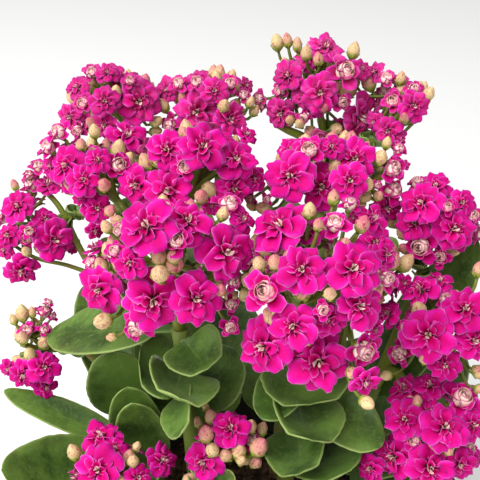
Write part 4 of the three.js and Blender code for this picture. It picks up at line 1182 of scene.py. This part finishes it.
def growSepals(sheaf, flower, tone):
    form = sepalForms[flower["kind"]]
    shape = greenShape
    rows, cols = grades[flower["grade"]]["sepalGrid"]
    t = np.linspace(0, 1, rows)[:, None]
    s = np.linspace(-1, 1, cols)[None, :]
    radius = flower["radius"]
    for k in range(shape["sepals"]):
        angle = flower["spin"] + 2 * math.pi * (k + 0.5) / shape["sepals"]
        around = angle + s * math.radians(form["half"]) * (1 - shape["narrowing"] * t ** shape["narrowCurve"])
        out = form["foot"] + (form["wide"] - form["foot"]) * t ** shape["opening"] + shape["clear"] / radius
        height = form["low"] + (form["high"] - form["low"]) * t
        local = np.stack(np.broadcast_arrays(out * np.cos(around), out * np.sin(around), height), -1)
        both = sheetPoints(local[None], np.full((1, rows, cols), -shape["sepalThick"] / radius))[0]
        world = flower["place"] + radius * both @ flower["frame"]
        values = np.stack(np.broadcast_arrays(s, t, np.float64(tone)), -1)
        values = np.broadcast_to(values, (2, rows, cols, 3)).reshape(-1, 3)
        faces = shellFaces(rows, cols)[:, ::-1]
        sheaf.add(world, faces, form=values, kind=(1, 0, 0))


def growTube(sheaf, path, radii, sides, tone=0.5, kind=(0, 0, 0), finish=0):
    rings = tubePoints(path, radii, sides)
    quads, caps = tubeFaces(len(rings), sides)
    along = np.linspace(0, 1, len(rings))[:, None]
    form = np.stack(np.broadcast_arrays(0.0, along, np.float64(tone)), -1)
    form = np.broadcast_to(form, (len(rings), sides, 3)).reshape(-1, 3)
    sheaf.add(rings, quads, caps, form=form, kind=kind, finish=finish)


def growStalks(sheaf, head, flowers, random):
    _, _, axis, hub = stalkOf(head)
    middle = vec(head["middle"])
    radii = vec(head["radii"])
    shape = greenShape
    path = [hub - axis * shape["neck"], hub, hub + axis * shape["cap"]]
    growTube(sheaf, path, [shape["stalkEnd"], shape["stalkEnd"], shape["capEnd"]], shape["stalkSides"])
    # Branches leave the hub for points spread over the upper part of the dome.
    ways = spiral(shape["branches"], 1 - shape["branchSpread"], 0)
    ends = [middle + way @ frameOf(axis) * radii * shape["branchReach"] for way in ways]
    for end in ends:
        bend = hub + axis * (shape["bend"] * np.linalg.norm(end - hub))
        path = bezier([hub, bend, end], shape["branchRings"])
        widths = np.linspace(shape["branchFoot"], shape["branch"], len(path))
        growTube(sheaf, path, widths, shape["branchSides"], random.uniform(0.3, 1))
    for flower in flowers:
        radius, normal = flower["radius"], flower["normal"]
        tone = random.uniform(0.2, 1)
        base = flower["place"] - normal * (calyxDepth[flower["kind"]] * radius)
        start = min(ends, key=lambda end: np.linalg.norm(end - base))
        bend = base - normal * (shape["bend"] * np.linalg.norm(base - start))
        path = bezier([start, bend, base], shape["spans"] + 1)
        widths = np.linspace(shape["pedicelFoot"], shape["pedicel"], len(path))
        growTube(sheaf, path, widths, grades[flower["grade"]]["pedicelSides"], tone)
        growSepals(sheaf, flower, tone)
        if flower["kind"] in corollaTube:
            low, high = corollaTube[flower["kind"]]
            heights = np.linspace(-calyxDepth[flower["kind"]] - 0.02, shape["throat"], 3)
            path = [flower["place"] + normal * (h * radius) for h in heights]
            widths = np.linspace(low, high, 3) * radius
            growTube(sheaf, path, widths, shape["throatSides"], tone, kind=(shape["throatGreen"], 0, 0))


def gradeOf(flower):
    if flower["layer"] == "seen":
        return 0 if flower["radius"] > fineRadius else 1
    return 2 if flower["layer"] == "far" else 3


def growHead(head, flowers, index):
    random = np.random.default_rng(seeds["head"] + index)
    name = head["name"].removeprefix("head_")
    for flower in flowers:
        flower["frame"] = frameOf(flower["normal"])
        flower["size"] = min(flower["radius"] / sizes["full"], sizes["most"])
        flower["grade"] = gradeOf(flower)
    blooms = Sheaf()
    for kind, grade in [(kind, grade) for kind in whorls for grade in range(len(grades))]:
        some = [flower for flower in flowers if flower["kind"] == kind and flower["grade"] == grade]
        if not some:
            continue
        for whorl in whorls[kind]:
            growWhorl(blooms, some, whorl, random)
        if kind == "half":
            for roll in rolls:
                growRoll(blooms, some, roll, random)
    for flower in flowers:
        if flower["kind"] == "bud":
            growBud(blooms, flower, random.uniform(0, 1))
    blooms.piece("blooms_" + name, [finishes["petal"], finishes["bud"]], head["name"], "petals")
    greens = Sheaf()
    growStalks(greens, head, flowers, random)
    greens.piece("stalks_" + name, [finishes["green"]], head["name"], "foliage")


heading = allFlowers()
for index, (head, flowers) in enumerate(zip(heads, heading)):
    growHead(head, flowers, index)
print("flower heads made:", sum(len(flowers) for flowers in heading), "flowers")

# Shoots. A leaf has the outline and the cup of its solid, with a finer margin and a round rim. What bends the
# margin is a share of its half width, and a place on it is a share of its length.
leafShape = {
    "scallops": 5, "small": 14.5, "petiole": 3, "petioleEnd": 10, "bladeStart": 0.16, "skew": 0.85,
    "fullness": 0.55, "wave": 0.01, "teeth": 0.02, "toothCount": 12, "marginFrom": 0.2, "marginTo": 0.5,
    "cupCurve": 1.6, "cupStart": 0.12, "cupRise": 1.9, "groove": 0.35, "grooveWidth": 1.3, "quilt": 0.25,
    "thick": 1.9, "rim": 0.9, "thinTip": 0.75, "tipStart": 0.97, "rimOut": 0.32, "rimOutTip": 0.8,
    "rimHighlightLine": 0.8, "tipLine": 0.9, "tipLineStart": 0.975, "rootDepth": 2, "towardsViewer": 0.3,
    "rows": 44, "columns": 11, "crowdedTip": 1.35, "crowdedRim": 1.3,
}
stemShape = {
    "root": 4.2, "fork": 3, "straight": 6, "knee": 0.4, "kneeRise": 4, "gap": 0.35, "rings": 26,
    "sides": 14, "nodeSwell": 0.12, "nodeLength": 3, "swellMost": 0.6, "nodeSteps": 60,
}
stalkShape = {"sides": 10, "rings": 12, "fork": 2.6, "end": 1.8, "overlap": 0.05, "neck": 5}
# Small leaves below each flower head, where its branches part. The size is that for a dome of this radius.
bractShape = {
    "count": 5, "length": 9, "wide": 2.2, "bend": 1.5, "cup": 1.2, "rows": 10, "columns": 5, "rise": 0.35,
    "below": 3, "sunk": 0.5, "dome": 20,
}


def stemPoints(shoot, count):  # a centripetal curve through the root, the soil, the knee and the fork
    root = vec((*shoot["root"], soil["surface"] - soil["holeDepth"] + stemShape["gap"]))
    ground = vec((*shoot["root"], soil["surface"] + stemShape["straight"]))
    fork = vec(shoot["fork"])
    knee = ground + (fork - ground) * stemShape["knee"] + up * stemShape["kneeRise"]
    knots = [2 * root - ground, root, ground, knee, fork, 2 * fork - knee]
    found = []
    for k in range(count):
        spot = min(3 * k / (count - 1), 3 - 1e-9)
        i = int(spot)
        a, b, c, d = knots[i:i + 4]
        ab, bc, cd = (math.sqrt(np.linalg.norm(q - p)) for p, q in ((a, b), (b, c), (c, d)))
        leave = ((b - a) / ab - (c - a) / (ab + bc) + (c - b) / bc) * bc
        arrive = ((c - b) / bc - (d - b) / (bc + cd) + (d - c) / cd) * bc
        w = spot - i
        found.append(
            b + leave * w + (3 * (c - b) - 2 * leave - arrive) * w ** 2
            + (2 * (b - c) + leave + arrive) * w ** 3
        )
    return np.array(found)


def growLeaf(sheaf, leaf, base, tone, rows=leafShape["rows"], columns=leafShape["columns"]):
    shape = leafShape
    seen = leaf["spot"] == "pixel"
    tip = pointAt(leaf["tip"]) if seen else vec(leaf["tip"])
    length = np.linalg.norm(tip - base)
    ahead = (tip - base) / length
    looks = vec(leaf.get("faces", (0, -shape["towardsViewer"] if seen else 0, 1)))
    aside = unit(np.cross(ahead, looks))
    normal = np.cross(aside, ahead)
    # Values along the leaf stand in a column and values across it in a row.
    t = (1 - (1 - np.linspace(0, 1, rows)) ** shape["crowdedTip"])[:, None]
    q = np.linspace(-1, 1, columns)
    q = np.sign(q) * (1 - (1 - np.abs(q)) ** shape["crowdedRim"])
    nearTip = smooth(t, shape["tipStart"], 1)
    free = smooth(t, shape["marginFrom"], shape["marginTo"])

    scallops = shape["scallops"] - (leaf["wide"] <= shape["small"]) - (not seen)
    teeth = shape["teeth"] * np.abs(np.sin(math.pi * t * shape["toothCount"]))
    lobes = teeth - shape["wave"] * np.cos(2 * math.pi * t * scallops)
    blade = np.clip((t - shape["bladeStart"]) / (1 - shape["bladeStart"]), 0, 1)
    outline = np.sin(math.pi * np.minimum(blade, 1 - 1e-6) ** shape["skew"]) ** shape["fullness"]
    half = shape["petiole"] / 2 * (1 - t ** shape["petioleEnd"]) + 0.15
    half = half + leaf["wide"] * (1 + lobes * free) * outline

    rise = np.sqrt(np.sin(math.pi * np.minimum(t + shape["cupStart"], 1)))
    margin = np.abs(q) ** shape["cupRise"]
    lift = leaf["cup"] * (half / leaf["wide"]) ** shape["cupCurve"] * rise * margin
    lift = lift - shape["groove"] * np.exp(-((q * half / shape["grooveWidth"]) ** 2)) * smooth(t, 0.1, 0.3)
    lift = lift + shape["quilt"] * np.sin(9 * t + 4 * q + 9 * tone) * margin * free
    thick = shape["rim"] + (shape["thick"] - shape["rim"]) * (1 - q ** 2) * (1 - t ** 4)
    thick = thick * (1 - shape["thinTip"] * nearTip)

    middle = base + t * length * ahead + 4 * leaf["bend"] * (t * t - t) * normal
    middle[0] -= ahead * shape["rootDepth"]
    grid = middle[:, None] + aside * (q * half)[..., None]
    upper = grid + normal * (lift + thick / 2)[..., None]
    lower = grid + normal * (lift - thick / 2)[..., None]
    rimOut = shape["rimOut"] * (1 - shape["rimOutTip"] * nearTip)
    left = (upper[:, 0] + lower[:, 0]) / 2 - aside * rimOut
    right = (upper[:, -1] + lower[:, -1]) / 2 + aside * rimOut
    rings = np.concatenate([upper, right[:, None], lower[:, ::-1], left[:, None]], axis=1)

    across = np.concatenate([q, [1], q[::-1], [-1]])
    under = np.concatenate([0 * q, [0.5], 0 * q + 1, [0.5]])
    # The rim value marks a pale line along the rim and at the tip, for a painted highlight where the margins
    # catch light.
    rim = 1 - smooth((1 - np.abs(across)) * half, 0.0, shape["rimHighlightLine"])
    rim = np.maximum(rim, shape["tipLine"] * smooth(t, shape["tipLineStart"], 1)) * smooth(t, 0.05, 0.25)
    form = np.stack(np.broadcast_arrays(across, t, np.float64(tone)), -1).reshape(-1, 3)
    kind = np.stack(np.broadcast_arrays(under, rim, 0.0), -1).reshape(-1, 3)
    quads, caps = tubeFaces(rows, rings.shape[1])
    sheaf.add(rings, quads[:, ::-1], [c[::-1] for c in caps], form=form, kind=kind)


def growBracts(sheaf, head, end, axis, random):
    shape = bractShape
    scale = min(head["radii"]) / shape["dome"]
    for k in range(shape["count"]):
        turn = k * goldenAngle + random.uniform(-0.3, 0.3)
        rise = shape["rise"] + random.uniform(-0.25, 0.35)
        way = unit(vec((math.cos(turn), math.sin(turn), rise)) @ frameOf(axis))
        base = end - axis * (shape["below"] * (k % 3)) - way * shape["sunk"]
        tip = base + way * shape["length"] * scale * random.uniform(0.8, 1.15)
        wide = shape["wide"] * scale * random.uniform(0.85, 1.2)
        bract = {"spot": "free", "tip": tip, "wide": wide, "bend": shape["bend"], "cup": shape["cup"]}
        growLeaf(sheaf, bract, base, random.uniform(0, 1), shape["rows"], shape["columns"])


# Stalks beside those of the solids, each by the pixels that it passes and their depths from the eye.
branches = [
    {"shoot": "shoot_back_left", "widths": (1.9, 1.2), "pixels": (
        (164, 274, 399), (124, 286, 398), (97, 274, 395), (83, 256, 393), (70, 228, 391), (60, 205, 390),
        (44, 190, 389),
    )},
    {"shoot": "shoot_back_left", "widths": (1.1, 0.7), "pixels": (
        (98, 276, 395), (84, 271, 394), (62, 263, 392), (40, 261, 390), (18, 249, 389), (6, 238, 389),
    )},
    {"shoot": "shoot_back_right", "widths": (2.2, 1.6), "pixels": (
        (318, 150, 392), (303, 136, 390), (289, 131, 388), (277, 124, 386),
    )},
]


branchShape = {"rings": 6, "easings": 12, "tone": 0.7}  # rings for each pixel, rounds that smooth the path


def growBranch(sheaf, branch):
    points = np.array([pointAt(pixel) for pixel in branch["pixels"]])
    steps = np.linspace(0, len(points) - 1, branchShape["rings"] * len(points))
    path = np.stack([np.interp(steps, range(len(points)), points[:, k]) for k in range(3)], axis=1)
    for _ in range(branchShape["easings"]):
        path[1:-1] = (path[:-2] + path[1:-1] + path[2:]) / 3
    widths = np.linspace(*branch["widths"], len(path))
    growTube(sheaf, path, widths, stalkShape["sides"], branchShape["tone"], finish=2)


def growShoot(shoot, index):
    random = np.random.default_rng(seeds["shoot"] + index)
    sheaf = Sheaf()
    points = stemPoints(shoot, stemShape["rings"])
    radii = np.linspace(stemShape["root"], stemShape["fork"], len(points))
    for leaf in shoot["leaves"]:
        near = np.exp(-(((points[:, 2] - leaf["node"]) / stemShape["nodeLength"]) ** 2))
        radii = radii * (1 + stemShape["nodeSwell"] * near)
    radii = np.minimum(radii, stemShape["root"] + stemShape["swellMost"])
    growTube(sheaf, points, radii, stemShape["sides"], finish=1)
    for head in heads:
        if head["shoot"] != shoot["name"]:
            continue
        fork, control, axis, hub = stalkOf(head)
        start = fork + (control - fork) * -stalkShape["overlap"]
        end = hub - axis * (stalkShape["neck"] - stemShape["gap"])
        path = bezier([start, control, end], stalkShape["rings"])
        widths = np.linspace(stalkShape["fork"], stalkShape["end"], stalkShape["rings"])
        growTube(sheaf, path, widths, stalkShape["sides"], random.uniform(0.4, 1), finish=2)
        growBracts(sheaf, head, end, axis, random)
    for branch in branches:
        if branch["shoot"] == shoot["name"]:
            growBranch(sheaf, branch)
    samples = stemPoints(shoot, stemShape["nodeSteps"] + 1)
    for leaf in shoot["leaves"]:
        base = min(samples, key=lambda point: abs(point[2] - leaf["node"]))
        growLeaf(sheaf, leaf, base, random.uniform(0, 1))
    name = "leaves_" + shoot["name"].removeprefix("shoot_")
    sheaf.piece(name, [finishes["leaf"], finishes["stem"], finishes["green"]], shoot["name"], "foliage")


for index, shoot in enumerate(shoots):
    growShoot(shoot, index)
print("shoots made")

# Pot and soil. The pot's outline is that of its solid, with rounded edges.
potShape = {
    "foot": 43, "body": 56.5, "rim": 60, "flare": 0.8, "height": 105, "rimHeight": 14, "ledge": 4,
    "wall": 2.4, "floor": 3, "sides": 96, "drains": 4, "drainRadius": 4.5, "drainCircle": 27,
    "drainReach": 6, "drainSides": 24, "edge": 0.7, "sharp": 40,
}


def roundedOutline(corners, radius, steps=4):  # each inner corner becomes a short curve
    points = [corners[0]]
    for before, corner, after in zip(corners, corners[1:], corners[2:]):
        before, corner, after = vec(before), vec(corner), vec(after)
        reach = min(radius, np.linalg.norm(corner - before) / 2.2, np.linalg.norm(after - corner) / 2.2)
        start = corner + unit(before - corner) * reach
        end = corner + unit(after - corner) * reach
        points += [tuple(p) for p in bezier([start, corner, end], steps)]
    return points + [corners[-1]]


def turnedMesh(name, outline, sides):
    mesh = bpy.data.meshes.new(name)
    shape = bmesh.new()
    rings = []
    for radius, height in outline:
        count = sides if radius > 1e-6 else 1
        turns = [2 * math.pi * k / sides for k in range(count)]
        ring = [(radius * math.cos(turn), radius * math.sin(turn), height) for turn in turns]
        rings.append([shape.verts.new(Vector(point) * mm) for point in ring])
    for low, high in zip(rings, rings[1:]):
        for k in range(sides):
            j = (k + 1) % sides
            corners = [low[k % len(low)], low[j % len(low)], high[j % len(high)], high[k % len(high)]]
            shape.faces.new(list(dict.fromkeys(corners)))
    bmesh.ops.recalc_face_normals(shape, faces=shape.faces)
    shape.to_mesh(mesh)
    shape.free()
    piece = bpy.data.objects.new(name, mesh)
    bpy.context.scene.collection.objects.link(piece)
    return piece


def makePot():
    p = potShape
    under = p["height"] - p["rimHeight"]
    top = p["rim"] + p["flare"]
    corners = [
        (0, 0), (p["foot"], 0), (p["body"], under), (p["rim"], under), (top, p["height"]),
        (top - p["wall"], p["height"]), (p["body"] - p["wall"], under - p["ledge"]),
        (p["foot"] - p["wall"], p["floor"]), (0, p["floor"]),
    ]
    pot = turnedMesh("pot_shell", roundedOutline(corners, p["edge"]), p["sides"])
    far = p["drainReach"]
    for k in range(p["drains"]):
        turn = 2 * math.pi * k / p["drains"]
        outline = [(0, -far), (p["drainRadius"], -far), (p["drainRadius"], far), (0, far)]
        hole = turnedMesh("drain", outline, p["drainSides"])
        out = p["drainCircle"] * mm
        hole.data.transform(Matrix.Translation((out * math.cos(turn), out * math.sin(turn), 0)))
        cut = pot.modifiers.new("drain", "BOOLEAN")
        cut.operation, cut.solver, cut.object = "DIFFERENCE", "EXACT", hole
        bpy.context.view_layer.update()
        bpy.context.view_layer.objects.active = pot
        bpy.ops.object.modifier_apply(modifier="drain")
        bpy.data.objects.remove(hole)
    pot.data.shade_smooth()
    pot.data.set_sharp_from_angle(angle=math.radians(p["sharp"]))
    pot.data.materials.append(finishes["pot"])
    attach(pot, "root")
    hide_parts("pot")


# The soil's clearances from the pot, its mound and its crumbs.
soilShape = {
    "wallGap": 0.9, "footGap": 0.8, "floorGap": 0.4, "mound": 0.45, "crownCurve": 1.2, "rings": 44,
    "sides": 120, "innermost": 0.02, "waves": 40, "wave": 0.55, "lump": 0.18, "calmEdge": 0.04,
    "crumbs": 420, "least": 0.7, "most": 2.4, "fewLarge": 2.5, "crumbEdge": 0.93, "above": 0.2,
}


def soilHeight(inward):  # over the pot's ledge, by the share of the way from the wall to the middle
    ledge = potShape["height"] - potShape["rimHeight"] - potShape["ledge"]
    mound = smooth(inward, 0, soilShape["mound"]) * (soil["surface"] - ledge)
    return ledge + mound + soil["crown"] * inward ** soilShape["crownCurve"]


def makeSoil():
    random = np.random.default_rng(seeds["soil"])
    c = soilShape
    p = potShape
    edge = p["body"] - p["wall"] - c["wallGap"]
    foot = p["foot"] - p["wall"] - c["footGap"]
    sheaf = Sheaf()
    shares = np.linspace(1, c["innermost"], c["rings"])[:, None]
    turns = np.arange(c["sides"]) * 2 * math.pi / c["sides"]
    x, y = shares * edge * np.cos(turns), shares * edge * np.sin(turns)
    lumps = np.zeros(x.shape)
    for _ in range(c["waves"]):
        waveX, waveY = random.normal(0, c["wave"]), random.normal(0, c["wave"])
        lumps += np.sin(waveX * x + waveY * y + random.uniform(0, 6.3))
    lumps *= c["lump"] * smooth(1 - shares, 0, c["calmEdge"])
    tops = np.stack([x, y, soilHeight(1 - shares) + lumps], -1)
    floor = 0 * turns + p["floor"] + c["floorGap"]
    lows = [np.stack([foot * np.cos(turns), foot * np.sin(turns), floor], -1)]
    rings = np.concatenate([lows, tops])
    quads, caps = tubeFaces(len(rings), c["sides"])
    tone = np.broadcast_to(random.uniform(0, 1, rings.shape[:2])[..., None], rings.shape)
    sheaf.add(rings, quads, caps, form=tone.reshape(-1, 3))
    # Crumbs lie half sunk in the surface.
    ball = bmesh.new()
    bmesh.ops.create_icosphere(ball, subdivisions=1, radius=1)
    corners = np.array([v.co for v in ball.verts])
    faces = np.array([[v.index for v in f.verts] for f in ball.faces])
    ball.free()
    for _ in range(c["crumbs"]):
        turn = random.uniform(0, 2 * math.pi)
        out = edge * c["crumbEdge"] * math.sqrt(random.uniform(0, 1))
        size = c["least"] + (c["most"] - c["least"]) * random.uniform(0, 1) ** c["fewLarge"]
        stretch = random.uniform(0.6, 1.2, 3) * size
        lump = corners * stretch * random.uniform(0.8, 1.15, (len(corners), 1))
        height = soilHeight(1 - out / edge) + c["above"] * size
        place = (out * math.cos(turn), out * math.sin(turn), height)
        sheaf.add(lump + place, np.zeros((0, 4), int), faces, form=(0, 0, random.uniform(0, 1)))
    piece = sheaf.piece("peat", [finishes["soil"]], "soil", "potting_soil")
    piece.data.shade_flat()


makePot()
makeSoil()
print("pot and soil made")

# Floor, light and camera
studio = {
    "floor": "#f6f6f4", "floorSize": 12, "sky": "#ffffff", "skyStrength": 0.41, "sensor": 36,
    "keyPower": 50, "keySize": 1.6, "keyFrom": (-0.75, -0.7, 1.5), "fillPower": 4, "fillSize": 1.6,
    "fillFrom": (1.2, -0.4, 0.9), "target": (0, 0, 0.2),
}


def addLamp(name, power, size, start):
    data = bpy.data.lights.new(name, "AREA")
    data.energy, data.size = power, size
    lamp = bpy.data.objects.new(name, data)
    lamp.location = start
    way = Vector(studio["target"]) - lamp.location
    lamp.rotation_euler = way.to_track_quat("-Z", "Y").to_euler()
    bpy.context.scene.collection.objects.link(lamp)


def makeStudio():
    bpy.ops.mesh.primitive_plane_add(size=studio["floorSize"])
    floor = bpy.context.object
    floor.name = "floor"
    paint = Paint("floorPaint", Roughness=0.9, Specular_IOR_Level=0.1)
    floor.data.materials.append(paint.finish(Base_Color=tint(studio["floor"])))
    world = bpy.data.worlds.new("sky")
    world.use_nodes = True
    background = world.node_tree.nodes["Background"]
    background.inputs["Color"].default_value = tint(studio["sky"])
    background.inputs["Strength"].default_value = studio["skyStrength"]
    bpy.context.scene.world = world
    addLamp("key", studio["keyPower"], studio["keySize"], studio["keyFrom"])
    addLamp("fill", studio["fillPower"], studio["fillSize"], studio["fillFrom"])
    camera = bpy.data.objects.new("camera", bpy.data.cameras.new("camera"))
    camera.data.sensor_width = studio["sensor"]
    camera.data.lens = studio["sensor"] * view["focal"] / (2 * view["middle"])
    camera.location = eye * mm
    camera.rotation_euler = (math.radians(90 - view["tilt"]), 0, 0)
    camera.data.clip_start = 0.01
    bpy.context.scene.collection.objects.link(camera)
    bpy.context.scene.camera = camera
    bpy.context.scene.view_settings.view_transform = "Standard"


makeStudio()
print("studio made")
